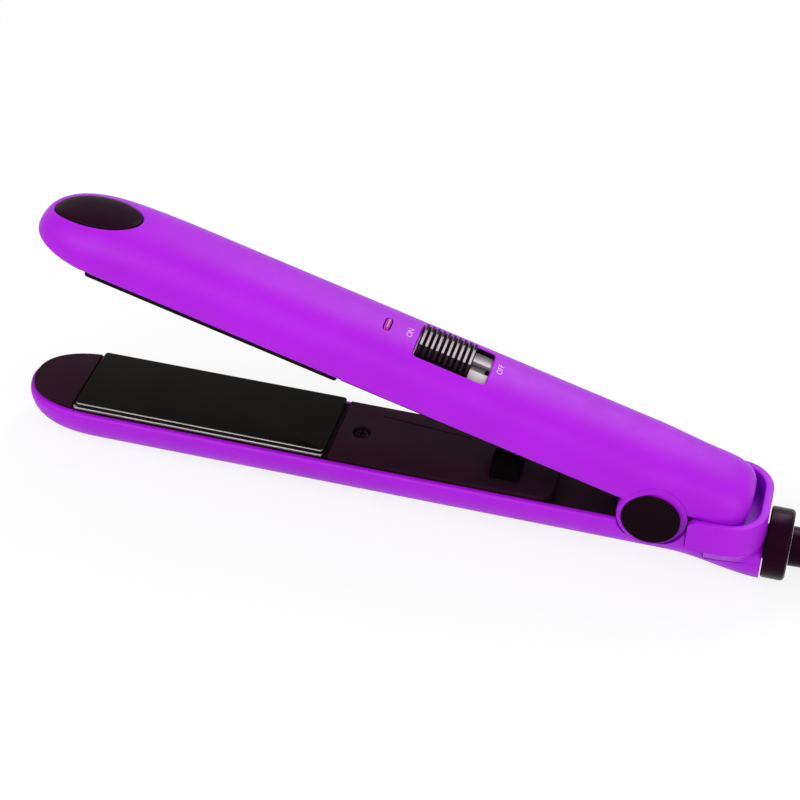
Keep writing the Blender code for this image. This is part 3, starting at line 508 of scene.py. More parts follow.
def smooth_route(points, per_span):
    given = [Vector(p) for p in points]
    ends = [given[0] * 2 - given[1], *given, given[-1] * 2 - given[-2]]
    route = []
    for a, b, c, d in zip(ends, ends[1:], ends[2:], ends[3:]):
        for k in range(per_span):
            t = k / per_span
            point = b * 2 + (c - a) * t + (a * 2 - b * 5 + c * 4 - d) * t ** 2
            route.append((point + (b * 3 - a - c * 3 + d) * t ** 3) / 2)
    return [*route, given[-1]]


steps = round(HANK_TURNS * STEPS_PER_TURN)
hank = [hank_point(HANK_TURNS * i / steps) for i in range(steps + 1)]
tail = []
tail_x = hank[-1].x - 0.0100
reach = tail_x - PLUG.x - INTO_PLUG - CORD
for k in range(8):
    bend = 0.5 - 0.5 * cos(pi * k / 7)
    y, z = mix(hank[-1].y, PLUG.y, bend), mix(hank[-1].z, PLUG.z, bend)
    tail.append(Vector((tail_x - reach * k / 7, y, z)))
tail.append(Vector((PLUG.x + INTO_PLUG, PLUG.y, PLUG.z)))
path = smooth_route(LEAD_ROUTE, 3) + hank + tail
lead_length = sum((b - a).length for a, b in zip(path, path[1:]))
print(f"lead: {len(path)} points, {lead_length:.3f} m")

# %% [markdown]
# A lead is one unbroken tube. It could be drawn out ring by ring, but a curve with a round bevel keeps
# its thickness in every bend and can still be pulled into another shape, so the lead is one curve.

# %% The lead as a curve
deselect()
bpy.ops.curve.primitive_bezier_curve_add()
lead = bpy.context.object
lead.name = lead.data.name = "mains_lead"
lead.data.splines.clear()
spline = lead.data.splines.new("POLY")
spline.points.add(len(path) - 1)
for target, point in zip(spline.points, path):
    target.co = (*point, 1.0)
spline.use_smooth = True
lead.data.dimensions = "3D"
lead.data.bevel_depth = CORD / 2
lead.data.bevel_resolution = 4
lead.data.use_fill_caps = True
lead.data.materials.append(CORD_BLACK)
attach(lead, "lower_arm")
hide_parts("cord_lead", "cord_hank")
print("the lead has", len(spline.points), "points on one open spline")

# %% [markdown]
# The plug is a moulded grip that narrows towards the lead, with ridges for the fingers and two flat
# blades. The body is drawn out section by section. Each blade is a bar with softened ends and the
# small hole that the socket's springs drop into.

# %% Plug and its blades
PLUG_HALF, PLUG_RISE, PLUG_POWER = 0.0110, 0.0075, 3.4
RIDGE = ((0.0, 0.43, 0.56), (0.0006, 0.48, 0.62), (0.0014, 0.48, 0.62), (0.0020, 0.43, 0.56))
BLADE_X, BLADE_Y, BLADE_THICK, BLADE_TALL = (0.1375, 0.1542), 0.00635, 0.00075, 0.0032


def plug_loop(back, wide, tall):
    def spot(a):
        y = PLUG.y + PLUG_HALF * wide * bent(cos(a), PLUG_POWER)
        return (PLUG.x - back, y, PLUG.z + PLUG_RISE * tall * bent(sin(a), PLUG_POWER))
    return ellipse_loop(40, spot)


sections = [(0.0, 0.36, 0.48), (0.0004, 0.42, 0.55)]
for ridge in range(4):
    swell = 0.03 * ridge
    for step, wide, tall in RIDGE:
        sections.append((0.0012 + 0.0026 * ridge + step, wide + swell, tall + swell))
sections += [(0.0150, 0.66, 0.74), (0.0185, 0.90, 0.92), (0.0215, 0.985, 0.985), (0.0240, 1.0, 1.0)]
sections += [(0.0345, 1.0, 1.0), (0.0355, 0.975, 0.96), (0.0360, 0.92, 0.88)]
plug = draw_out("plug_grip", [plug_loop(*section) for section in sections])
hand_over(plug, ON_TABLE, CORD_BLACK, "lower_arm", "plug_body", 40)

for label, side in (("near", -1), ("far", 1)):
    y = PLUG.y + side * BLADE_Y
    low = (BLADE_X[0], y - BLADE_THICK, PLUG.z - BLADE_TALL)
    blade = block(f"plug_pin_{label}", low, (BLADE_X[1], y + BLADE_THICK, PLUG.z + BLADE_TALL))
    bevel_edges(blade, lambda m, d: m.x < 0.138 and abs(d.y) > 0.9, 0.0014, 4)
    carve(blade, turned_y("pin_hole", bar(0.0014, y - 0.003, y + 0.003), (0.1420, 0, PLUG.z), 24))
    soften(blade, 0.00018, 2)
    hand_over(blade, ON_TABLE, BRASS, "lower_arm", f"plug_blade_{label}")

# %% [markdown]
# A strap holds the hank at its waist. It is a flat band bent round the bundle with round corners,
# and its loose end is turned over on top. One block carved from another gives the band an even
# thickness all round.

# %% Strap round the hank
STRAP_HALF, STRAP_THICK, STRAP_ROOM = 0.004, 0.0008, 0.0006
half = HANK_WAIST + HANK_CLIMBS[0] * CORD_PITCH * HANK_WAIST_STEP + CORD / 2 + STRAP_ROOM
top = HANK_BASE_Z + 3 * CORD_PITCH + CORD / 2 + STRAP_ROOM
strap_high = (HANK_X + STRAP_HALF, half + STRAP_THICK, top + STRAP_THICK)
strap = block("hank_strap", (HANK_X - STRAP_HALF, -half - STRAP_THICK, 0.0), strap_high)
bevel_edges(strap, lambda m, d: abs(d.x) > 0.9, 0.0045, 6)
inside = block("strap_inside", (HANK_X - 0.010, -half, STRAP_THICK), (HANK_X + 0.010, half, top))
bevel_edges(inside, lambda m, d: abs(d.x) > 0.9, 0.0037, 6)
carve(strap, inside)
flap = block("strap_flap", (HANK_X - 0.0037, -0.006, top + 0.0005), (HANK_X + 0.0037, 0.010, top + 0.0014))
bevel_edges(flap, lambda m, d: m.y > 0.009 and abs(d.z) > 0.9, 0.0030, 4)
weld(strap, flap)
soften(strap, 0.0002, 2)
hand_over(strap, ON_TABLE, GRIP_BLACK, "lower_arm", "cord_tie")

# %% [markdown]
# ## The swivel
# The lead may turn without twisting because the collar behind the boss turns freely. The collar is a
# short drum with a crisp chamfer. The sleeve that guards the lead is soft, tapers to the lead's own
# thickness and is ringed with slots so that it bends evenly.

# %% Collar and sleeve
SWIVEL_Z, REAR_X, RELIEF_END = -0.0152, 0.1950, 0.2380
SLOTS, SLOT_START, SLOT_PITCH = 7, 0.2090, 0.0036
drum = [(0.1900, 0.0089), (0.1922, 0.0089), (0.1923, 0.0060), (0.1953, 0.0060), (0.1954, 0.0114)]
drum += [(0.1956, 0.0119), (0.1959, 0.0122), (0.2022, 0.0122), (0.2029, 0.0119), (0.2033, 0.0114)]
drum += [(0.2035, 0.0107), (0.2035, 0.0074), (0.2032, 0.0072)]
collar = turned_x("swivel_drum", drum, SWIVEL_Z, 72)
hand_over(collar, LOWER_ARM, COLLAR_BLACK, "cord_swivel", "swivel_collar", 28)

rings = [(0.2037, 0.0066), (0.2039, 0.0068), (0.2085, 0.0066)]
for i in range(SLOTS):
    x = SLOT_START + i * SLOT_PITCH
    radius = mix(0.0066, 0.0044, i / SLOTS)
    rings += [(x, radius), (x + 0.0002, radius - 0.0002), (x + 0.0003, radius - 0.0010)]
    rings += [(x + 0.0015, radius - 0.0011), (x + 0.0016, radius - 0.0004), (x + 0.0018, radius - 0.0002)]
rings += [(RELIEF_END - 0.0010, 0.0042), (RELIEF_END - 0.0003, 0.0040), (RELIEF_END, 0.0035)]
sleeve = turned_x("lead_sleeve", rings, SWIVEL_Z, 40)
hand_over(sleeve, LOWER_ARM, COLLAR_BLACK, "cord_swivel", "strain_relief", 28)

# %% [markdown]
# ## Sections of the arms
# Each arm is half of a long pod: a rounded nose, an even middle and a bulging back. All its sections
# are the same kind of curve, a superellipse, which is a little squarer than an ellipse. A section is
# given by its place, its half width, the height of its rim, its depth and its power.

# %% The curve of a section
ARM_HALF, RIM_Z, ARM_DEPTH, ARM_POWER = 0.0176, 0.0032, 0.0161, 2.4


def rounded(share, power):
    return (1 - (1 - min(share, 1.0)) ** power) ** (1 / power)


def quarter(count, start=0):
    """Angles of a quarter turn, from its first step to its last."""
    return [pi / 2 * k / count for k in range(start, count + 1)]


def arm_loop(station, side, lift=0.0, soft=0.0, count=41):
    """One section, hung from its rim and closed across it, with a soft corner, or higher up."""
    x, half, rim, depth, power = station
    size = min(soft, 0.35 * half, 0.35 * depth)
    first = asin((size / depth) ** (power / 2))
    loop = []
    for i in range(count):
        a = mix(first, pi - first, i / (count - 1))
        rise = rim + depth * abs(sin(a)) ** (2 / power)
        loop.append((x, -half * bent(cos(a), power), side * rise))
    if soft:
        near = []
        for a in quarter(6)[:-1]:
            rise = rim + size * (1 - cos(a))
            near.append((x, loop[0][1] + size * (1 - sin(a)), side * rise))
        loop = near + loop + [(x, -y, z) for _, y, z in reversed(near)]
    if lift:
        loop += [(x, half, side * (rim - lift)), (x, -half, side * (rim - lift))]
    return loop


print("one section has", len(arm_loop((0.0, ARM_HALF, RIM_Z, ARM_DEPTH, ARM_POWER), 1)), "points")

# %% [markdown]
# At the nose the sections shrink along a rounded fall, which is longer on the upper arm. Written down
# once, they give the outer skin, its lining, and the height of the crown at any point, so that everything
# set into the crown can follow it.

# %% Sections of the nose, and the crown
TIP_X, NOSE_LENGTH, NOSE_POWER = -0.0666, 0.0270, 2.35
UPPER_TIP_X = TIP_X + 0.0001
LOWER_FALL, UPPER_FALL = (0.0315, 2.8), (0.0550, 2.5)
NOSE_STEPS = (0.0008, 0.004, 0.012, 0.03, 0.06, 0.10, 0.16, 0.24, 0.34, 0.46, 0.60, 0.76, 0.92, 1.0)


def front_stations(tip, inset, fall, end, count, last):
    """The sections of the nose, and then some of the even ones up to a given place."""
    length, power = fall
    steps = [NOSE_LENGTH * u for u in NOSE_STEPS]
    steps += [mix(NOSE_LENGTH, length, k / 5) for k in range(1, 6)]
    stations = []
    for step in steps:
        half = (ARM_HALF - inset) * rounded(step / NOSE_LENGTH, NOSE_POWER)
        depth = (ARM_DEPTH - inset) * rounded(step / length, power)
        stations.append((tip + inset + step, half, RIM_Z, depth, ARM_POWER))
    start = stations[-1][0]
    for k in range(1, last + 1):
        x = mix(start, end, k / count)
        stations.append((x, ARM_HALF - inset, RIM_Z, ARM_DEPTH - inset, ARM_POWER))
    return stations


def crown(x, y):
    """Height of the upper arm's skin above the level of the plates."""
    step = x - UPPER_TIP_X
    half = ARM_HALF * rounded(step / NOSE_LENGTH, NOSE_POWER)
    depth = ARM_DEPTH * rounded(step / UPPER_FALL[0], UPPER_FALL[1])
    share = min(abs(y) / half, 0.999)
    return RIM_Z + depth * (1 - share ** ARM_POWER) ** (1 / ARM_POWER)


print("crown over the switch:", round(crown(0.075, 0.0) * 1000, 2), "mm")

# %% [markdown]
# A shell could be made with Solidify, but at the nose its inner wall would fold. Here the skin is
# drawn out as a closed form whose rim has a soft corner, as a moulding always has, and a lining that is
# smaller by the wall and reaches out past the rim is carved from it.

# %% A shell from a skin and a lining
SOFT_RIM, LINING_REACH, WALL = 0.0016, 0.012, 0.0021


def shell(name, side, skin, lining):
    piece = draw_out(name, [arm_loop(station, side, soft=SOFT_RIM) for station in skin])
    carve(piece, draw_out("lining", [arm_loop(station, side, LINING_REACH) for station in lining]))
    print(f"{name}: {len(piece.data.polygons)} faces so far")
    return piece


print("the shell tool is defined")

# %% [markdown]
# ## The lower arm
# The lower arm carries the cord. Towards its end the half pod flares into the round boss that holds
# the swivel, so its last sections turn from the arm's section into the lower half of a circle.

# %% Lower shell
FLARE_START, BOSS_RADIUS = 0.1640, 0.0127


def boss_station(x, inset):
    t = ease((x - FLARE_START) / (REAR_X - FLARE_START))
    half = mix(ARM_HALF, BOSS_RADIUS, t) - inset
    depth = mix(ARM_DEPTH, BOSS_RADIUS, t) - inset
    return (x, half, mix(RIM_Z, -SWIVEL_Z, t), depth, mix(ARM_POWER, 2.0, t))


def lower_stations(inset):
    rear = REAR_X - (0.0025 if inset else 0.0)
    stations = front_stations(TIP_X, inset, LOWER_FALL, FLARE_START, 12, 12)
    return stations + [boss_station(mix(FLARE_START, rear, k / 16), inset) for k in range(1, 17)]


lower_shell = shell("lower_arm_shell", -1, lower_stations(0.0), lower_stations(WALL))

# %% [markdown]
# Inside, two ears carry the hinge pin. They are discs on webs, welded to the shell. Then pockets are
# carved for the knuckles of the upper arm and a seat for the cradle, the swivel hole is bored, and
# last the two spots that touch the table are cut flat. Carving leaves points that almost coincide, so
# these are merged at the end.

# %% Ears, pockets, seats and feet
KNUCKLE_RADIUS, EAR_RADIUS, PIN_BORE, SWIVEL_BORE = 0.0117, 0.0070, 0.0028, 0.0064
EAR_SPAN = (0.0108, 0.0136)
SKIRT_FRONT, CRADLE_FRONT, CRADLE_SKIRT_Z = 0.1761, 0.1698, -0.0090
GAP = 0.0003


def clean(piece, nearness=0.000004):
    take(piece, "EDIT")
    bpy.ops.mesh.select_all(action="SELECT")
    bpy.ops.mesh.remove_doubles(threshold=nearness)
    bpy.ops.mesh.normals_make_consistent(inside=False)
    bpy.ops.object.mode_set(mode="OBJECT")


for side in (-1, 1):
    ys = sorted(side * y for y in EAR_SPAN)
    web_high = (HINGE.x + EAR_RADIUS, ys[1], HINGE.z)
    web = block("ear_web", (HINGE.x - EAR_RADIUS, ys[0], -0.0165), web_high)
    limit = [arm_loop(station, -1) for station in lower_stations(WALL / 3)]
    carve(web, draw_out("web_limit", limit), "INTERSECT")
    weld(lower_shell, web)
    weld(lower_shell, turned_y("ear_disc", bar(EAR_RADIUS, *ys), HINGE, 48))
    reach = sorted((side * EAR_SPAN[1], side * 0.030))
    carve(lower_shell, turned_y("knuckle_pocket", bar(KNUCKLE_RADIUS + 0.0004, *reach), HINGE))
carve(lower_shell, turned_y("ear_bore", bar(PIN_BORE, -0.03, 0.03), HINGE, 32))
carve(lower_shell, block("seat", (SKIRT_FRONT - GAP, -0.03, SWIVEL_Z), (0.21, 0.03, 0.01)))
side_low = (CRADLE_FRONT - GAP, -0.03, CRADLE_SKIRT_Z - GAP)
carve(lower_shell, block("side_seat", side_low, (SKIRT_FRONT, 0.03, 0.01)))
carve(lower_shell, turned_x("swivel_hole", bar(SWIVEL_BORE, 0.18, 0.21), SWIVEL_Z))
ground = block("ground", (-0.3, -0.1, -0.03), (0.3, 0.1, 0.0))
ground.matrix_world = LOWER_ARM.inverted()
carve(lower_shell, ground)
clean(lower_shell)
hand_over(lower_shell, LOWER_ARM, PURPLE, "lower_arm", "lower_casing", 30)

# %% [markdown]
# ## The cradle
# Behind the hinge the tail of the upper arm sinks into a cradle, a U of wall with a round back that
# also closes the top half of the boss. It is drawn upwards, so it needs two outlines with as many
# points as each other: that of the boss, where it starts, and that of the wall.

# %% Outlines of the cradle
def both_sides(near):
    return near + [(x, -y) for x, y in reversed(near)]


def round_corner(end, half, corner, count):
    """The near corner of an outline, from its side round to its end."""
    points = []
    for i in range(count + 1):
        a = -pi / 2 + pi / 2 * i / count
        points.append((end - corner + corner * cos(a), -half + corner + corner * sin(a)))
    return points


def cradle_outline(front, half, rear, corner):
    return both_sides([(front, -half)] + round_corner(rear, half, corner, 18))


def boss_outline(points=19):
    near = []
    for i in range(points + 1):
        x = mix(SKIRT_FRONT, REAR_X, i / points)
        _, half, rim, depth, power = boss_station(x, 0.0)
        share = min(max((-SWIVEL_Z - rim) / depth, 0.0), 1.0)
        near.append((x, -half * (1 - share ** power) ** (1 / power)))
    return both_sides(near)


def level(outline, z):
    return [(x, y, z) for x, y in outline]


CRADLE_HALF, CRADLE_CORNER = 0.0180, 0.0125
WALL_OUTLINE = cradle_outline(SKIRT_FRONT, CRADLE_HALF, REAR_X, CRADLE_CORNER)
WING_OUTLINE = cradle_outline(CRADLE_FRONT, CRADLE_HALF, REAR_X, CRADLE_CORNER)
FOOT_OUTLINE = boss_outline()
print("cradle outlines of", len(WALL_OUTLINE), "points")

# %% [markdown]
# The form swells from the foot to the wall and rises past the rim. Then it is hollowed, its front is
# opened, and two large blocks trim the rim: one along its length, and one across the front corners.
# Trimming gives a straight rim, which a last loop of points would not.

# %% Swell, hollow and trim the cradle
CRADLE_RIM_Z, CRADLE_RIM_SLOPE = 0.0027, 0.6
loops = []
for k in range(9):
    t = k / 8
    swell = t ** 0.85
    ring = [(mix(a[0], b[0], swell), mix(a[1], b[1], swell)) for a, b in zip(FOOT_OUTLINE, WALL_OUTLINE)]
    loops.append(level(ring, mix(SWIVEL_Z + GAP, CRADLE_SKIRT_Z, t)))
loops += [level(WING_OUTLINE, CRADLE_SKIRT_Z + 0.0001), level(WING_OUTLINE, 0.0200)]
cradle = draw_out("tail_cradle", loops)
hollow = cradle_outline(CRADLE_FRONT - 0.010, 0.0158, REAR_X - 0.0028, 0.0103)
carve(cradle, draw_out("cradle_hollow", [level(hollow, z) for z in (-0.0052, 0.0300)]))
carve(cradle, block("cradle_mouth", (0.1593, -0.0138, -0.0300), (SKIRT_FRONT + 0.0030, 0.0138, -0.0032)))
for height, slope in ((CRADLE_RIM_Z, CRADLE_RIM_SLOPE), (0.0010, 45.0)):
    trim = block("rim_trim", (-0.05, -0.05, 0.0), (0.08, 0.05, 0.05))
    tilt = Matrix.Rotation(-radians(slope), 4, "Y")
    trim.matrix_world = Matrix.Translation((CRADLE_FRONT, 0, height)) @ tilt
    carve(cradle, trim)
carve(cradle, turned_x("flange_pocket", bar(0.0093, 0.16, REAR_X - 0.0025), SWIVEL_Z, 64))
carve(cradle, turned_x("cradle_bore", bar(SWIVEL_BORE, 0.18, 0.21), SWIVEL_Z))
clean(cradle)


def front_corner(middle, way):
    return abs(way.y) > 0.9 and abs(middle.y) > 0.015 and middle.x < 0.1726 and middle.z > 0.0


def on_rim(middle, way):
    x, y, z = middle
    rim = CRADLE_RIM_Z + (x - CRADLE_FRONT) * tan(radians(CRADLE_RIM_SLOPE))
    return abs(z - rim) < 0.00004 and x > CRADLE_FRONT - 0.0001


bevel_edges(cradle, front_corner, 0.0008, 4)
bevel_edges(cradle, on_rim, 0.0004, 3)
clean(cradle)
hand_over(cradle, LOWER_ARM, PURPLE, "lower_arm", "rear_cradle", 30)

# %% [markdown]
# ## The upper arm
# The upper arm is the same pod turned over, with a longer fall at the nose. Behind the hinge it draws
# in to a narrower tail, which sinks into the cradle as the arms open.

# %% Upper shell
TAPER, TAIL_END, TAIL_ROUND, TAIL_HALF, TAIL_RIM_Z = (0.1495, 0.1700), 0.1867, 0.0130, 0.0154, 0.0053
TAIL_STEPS, TAIL_POWER = (1.0, 0.80, 0.62, 0.46, 0.32, 0.20, 0.11, 0.05, 0.02), 2.6


def upper_stations(inset):
    stations = front_stations(UPPER_TIP_X, inset, UPPER_FALL, TAPER[0], 20, 19)
    for k in range(13):
        t = ease(k / 12)
        half, rim = mix(ARM_HALF, TAIL_HALF, t) - inset, mix(RIM_Z, TAIL_RIM_Z, t)
        stations.append((mix(*TAPER, k / 12), half, rim, ARM_DEPTH + RIM_Z - rim - inset, ARM_POWER))
    half = TAIL_HALF - inset
    depth = ARM_DEPTH + RIM_Z - TAIL_RIM_Z - inset
    for u in TAIL_STEPS:
        shrink = rounded(u, TAIL_POWER)
        x = TAIL_END - inset - (TAIL_ROUND - inset) * u
        end_half, end_depth = half * mix(0.55, 1.0, shrink), depth * mix(0.45, 1.0, shrink)
        stations.append((x, end_half, TAIL_RIM_Z, end_depth, ARM_POWER))
    return stations


upper_shell = shell("upper_arm_shell", 1, upper_stations(0.0), upper_stations(WALL))

# %% [markdown]
# The knuckles are the two rings that take the hinge caps. Each is a disc with a rounded outer edge. It
# is trimmed to a skin that lies a hair outside the arm's own, so that its upper half follows the crown,
# welded to the side of the arm and then sunk for its cap.

# %% Knuckles
CAP_RADIUS, CAP_SEAT_Y, CAP_OUTER_Y = 0.0097, 0.0167, 0.0187
KNUCKLE_INNER_Y, KNUCKLE_EDGE_Y, HAIR = 0.0142, 0.0166, 0.0005
for side in (-1, 1):
    profile = bar(KNUCKLE_RADIUS, side * KNUCKLE_INNER_Y, side * KNUCKLE_EDGE_Y)
    for a in quarter(5, 1):
        y = KNUCKLE_EDGE_Y + 0.0014 * sin(a)
        profile.append((side * y, KNUCKLE_RADIUS - 0.0011 * (1 - cos(a))))
    knuckle = turned_y("knuckle", profile, HINGE)
    limit = [arm_loop(station, 1, 0.0200) for station in upper_stations(-HAIR)]
    carve(knuckle, draw_out("knuckle_limit", limit), "INTERSECT")
    weld(upper_shell, knuckle)
    carve(upper_shell, turned_y("cap_seat", bar(CAP_RADIUS + GAP, side * CAP_SEAT_Y, side * 0.03), HINGE))
carve(upper_shell, turned_y("knuckle_bore", bar(PIN_BORE, -0.03, 0.03), HINGE, 32))
print("upper shell with knuckles:", len(upper_shell.data.polygons), "faces")

# %% [markdown]
# Three openings are cut in the crown: the window of the switch, the hole of the lamp and the shallow
# seat of the thumb rest. Their outlines are ovals of differing squareness, seen from above, and each is
# lifted onto the crown, so a cutter and the piece that later fills the opening share one outline.

# %% Ovals that follow the crown
WINDOW, WINDOW_HALF = (0.0648, 0.0904), 0.0082
LAMP_X, REST_X = 0.0536, -0.0483


def oval(middle, half_x, half_y, power, grow=0.0, count=64):
    def spot(a):
        x = middle + (half_x + grow) * bent(cos(a), power)
        return (x, (half_y + grow) * bent(sin(a), power))
    return ellipse_loop(count, spot)


def on_crown(outline, rise):
    return [(x, y, crown(x, y) + rise) for x, y in outline]


def window_oval(grow):
    return oval(sum(WINDOW) / 2, (WINDOW[1] - WINDOW[0]) / 2, WINDOW_HALF, 16.0, grow, 88)


def lamp_oval(grow):
    return oval(LAMP_X, 0.0010, 0.0029, 4.0, grow, 48)


def rest_oval(share, grow=0.0):
    return oval(REST_X, 0.0145 * share, 0.0084 * share, 2.0, grow, 72)


print("window of", round((WINDOW[1] - WINDOW[0]) * 1000, 1), "by", round(WINDOW_HALF * 2000, 1), "mm")

# %% [markdown]
# Each cutter widens at the skin, so the edge of the opening comes out with a small chamfer that
# catches the light. A bevel afterwards would have to find these edges again on a curved skin. The walls
# of the window are painted black as painted shade, for the shadow inside the window: a test on each face
# decides which of two finishes it gets.

# %% Openings in the crown
for outline in (window_oval, lamp_oval):
    start, flare = (GAP, 0.0002) if outline is lamp_oval else (0.0, 0.0005)
    loops = [level(outline(start), 0.010), on_crown(outline(start), -0.8 * flare)]
    loops += [on_crown(outline(start + flare), 0.4 * flare), on_crown(outline(start + flare), 0.006)]
    carve(upper_shell, draw_out("opening", loops))
SEAT_DEPTH, SEAT_FLARE = 0.0015, 0.0004
loops = [on_crown(rest_oval(share), -SEAT_DEPTH) for share in (0.03, 0.30, 0.60, 0.85)]
loops += [on_crown(rest_oval(1.0, GAP), -SEAT_DEPTH), on_crown(rest_oval(1.0, GAP), -0.0003)]
loops += [on_crown(rest_oval(1.0, GAP + SEAT_FLARE), rise) for rise in (0.0002, 0.004)]
carve(upper_shell, draw_out("rest_seat", loops))
clean(upper_shell)


def paint(piece, main, other, chosen):
    """Give the main finish to a piece, and the other one to the faces that the test accepts."""
    piece.data.materials.append(main)
    piece.data.materials.append(other)
    for face in piece.data.polygons:
        face.material_index = 1 if chosen(face) else 0


def window_wall_painted_shade(face):
    x, y, z = face.center
    inside = WINDOW[0] - GAP < x < WINDOW[1] + GAP and abs(y) < WINDOW_HALF + GAP
    return inside and z < crown(x, y) - 0.0005


# The walls of the window get the slider's black: painted shade for the shadow inside the window.
paint(upper_shell, PURPLE, SLIDER_BLACK, window_wall_painted_shade)
hand_over(upper_shell, UPPER_ARM, PURPLE, "upper_arm", "upper_casing", 30)

# %% [markdown]
# ## The thumb rest
# The soft black oval near the nose is where the thumb presses, far from the heat. It is built of
# rings that ride the crown: up the side, over a small round edge, and then a low swelling dome. A
# hair of space between it and its seat leaves the fine dark line that runs round it.

# %% Thumb rest
rings = [(1.0, -0.0012), (1.0, -0.0003), (0.996, -0.0001), (0.988, 0.00004), (0.975, 0.00014)]
rings += [(0.95, 0.00022), (0.90, 0.00030), (0.82, 0.00036), (0.70, 0.0004), (0.55, 0.00042)]
rings += [(share, 0.00043) for share in (0.38, 0.20, 0.08, 0.015)]
rest = draw_out("thumb_pad", [on_crown(rest_oval(share), rise) for share, rise in rings])
hand_over(rest, UPPER_ARM, GRIP_BLACK, "upper_arm", "thumb_rest", 40)

# %% [markdown]
# The lens of the lamp is a small jewel of tinted plastic. It is domed, and its rim is sunk a hair
# below the skin, which leaves the dark outline that one sees round it.

# %% Lamp lens
rings = [(0.0, -0.0026), (0.0, -0.0003), (-0.0001, 0.0), (-0.00025, 0.00016)]
rings += [(-0.0005, 0.00028), (-0.0008, 0.00032)]
lens = draw_out("lamp_jewel", [on_crown(lamp_oval(grow), rise) for grow, rise in rings])
hand_over(lens, UPPER_ARM, LENS, "upper_arm", "indicator_lens", 50)

# %% [markdown]
# ## The switch
# The slider is a curved strip with ten ribs for the thumb. Its section is an arc along the crown,
# drawn out along the arm: at a rib the arc is high and wide, between two ribs it is low and narrow,
# so the ends of the ribs stand out like teeth. The crests of the ribs get a pale, half metallic finish,
# which is a painted highlight.

# %% Ribbed slider
def strip_loop(x, half, top, bottom, count=25):
    arc = [half * (2 * i / (count - 1) - 1) for i in range(count)]
    return [(x, y, crown(x, y) + top) for y in arc] + [(x, y, crown(x, y) + bottom) for y in reversed(arc)]


SLIDER_START, SLIDER_LENGTH, RIBS = 0.0651, 0.0190, 10
RIB_HALF, RIB_TOP, GROOVE = 0.0079, 0.0009, (0.0071, -0.0003)
RIB = [
    (0.00004, *GROOVE), (0.00048, RIB_HALF - 0.0001, RIB_TOP - 0.00012),
    (0.00062, RIB_HALF, RIB_TOP - 0.00002), (0.00138, RIB_HALF, RIB_TOP),
    (0.00146, RIB_HALF - 0.0001, RIB_TOP - 0.0001), (0.00186, *GROOVE),
]
pitch = SLIDER_LENGTH / RIBS
loops = []
for i in range(RIBS):
    loops += [strip_loop(SLIDER_START + pitch * i + step, half, top, -WALL) for step, half, top in RIB]
slider = draw_out("ribbed_slider", loops)
weld(slider, block("slider_stem", (0.0696, -0.0014, 0.0142), (0.0766, 0.0014, 0.0180)))
clean(slider)


# The crests of the ribs, which are painted pale as a highlight.
def crest_painted_highlight(face):
    x, y, z = face.center
    along = (x - SLIDER_START) % pitch
    crest = abs(y) < 0.0042 and 0.00055 < along < 0.0014 or 0.0042 < y < 0.0077 and along < 0.0006
    return crest and z > crown(x, y) + RIB_TOP - 0.0007


paint(slider, SLIDER_BLACK, SLIDER_CREST_HIGHLIGHT, crest_painted_highlight)
hand_over(slider, UPPER_ARM, SLIDER_BLACK, "power_slider", "power_slider", 30)

# %% [markdown]
# Under the window lies the bed on which the slider runs. It is a glossy curved strip with a long
# slot for the stem of the slider.

# %% Slider bed
top, bottom = -WALL - GAP, -WALL - 0.0016
loops = [strip_loop(x, 0.0102, top, bottom) for x in (0.0612, 0.0655, 0.0715, 0.0775, 0.0835, 0.0895, 0.0938)]
bed = draw_out("slider_bed", loops)
carve(bed, block("bed_slot", (0.0688, -0.0020, 0.005), (0.0914, 0.0020, 0.030)))
clean(bed)
soften(bed, 0.0002, 2, 50)
hand_over(bed, UPPER_ARM, BED_LILAC, "upper_arm", "switch_track", 35)

# %% [markdown]
# Two small words are printed beside the window, ON and OFF. They are text objects, made into meshes
# and laid on the crown: each point of a letter takes the height of the skin beneath it.

# %% Printed words
LETTER_TALL, INK = 0.0021, 0.00004


def printed(name, word, x, y):
    deselect()
    bpy.ops.object.text_add(rotation=(0, 0, pi / 2))
    words = bpy.context.object
    words.name = name
    words.data.body = word
    words.data.size = LETTER_TALL * 1.37
    words.data.align_x = "CENTER"
    words.data.align_y = "CENTER"
    words.data.extrude = INK
    bpy.ops.object.convert(target="MESH")
    bpy.ops.object.transform_apply()
    words = bpy.context.object
    clean(words, 0.000002)
    for vert in words.data.vertices:
        px, py = x + vert.co.x, y + vert.co.y
        vert.co = (px, py, crown(px, py) + INK / 2 + vert.co.z)
    return hand_over(words, UPPER_ARM, MARK_PALE, "upper_arm", None)


for name, word, x, y in (("word_on", "ON", 0.0615, 0.0002), ("word_off", "OFF", 0.0935, 0.0006)):
    printed(name, word, x, y)

# %% [markdown]
# ## The hinge caps
# A black cap closes each knuckle. It is turned like a button: a short wall, a rounded edge and a
# face that is very slightly hollow.

# %% Hinge caps
CAP_EDGE = 0.0005
for side, label in ((-1, "near"), (1, "far")):
    profile = [(CAP_SEAT_Y + GAP, CAP_RADIUS - 0.0002), (CAP_SEAT_Y + 0.0005, CAP_RADIUS)]
    for a in quarter(6):
        y = CAP_OUTER_Y - CAP_EDGE + CAP_EDGE * sin(a)
        profile.append((y, CAP_RADIUS - CAP_EDGE * (1 - cos(a))))
    profile += [(CAP_OUTER_Y - 0.00004, CAP_RADIUS - 0.0012), (CAP_OUTER_Y - 0.00015, 0.0060)]
    profile += [(CAP_OUTER_Y - 0.00022, 0.0030), (CAP_OUTER_Y - 0.00024, 0.0006)]
    cap = turned_y(f"hinge_button_{label}", [(side * y, radius) for y, radius in profile], HINGE)
    hand_over(cap, UPPER_ARM, CAP_BLACK, "upper_arm", f"hinge_cap_{label}", 40)

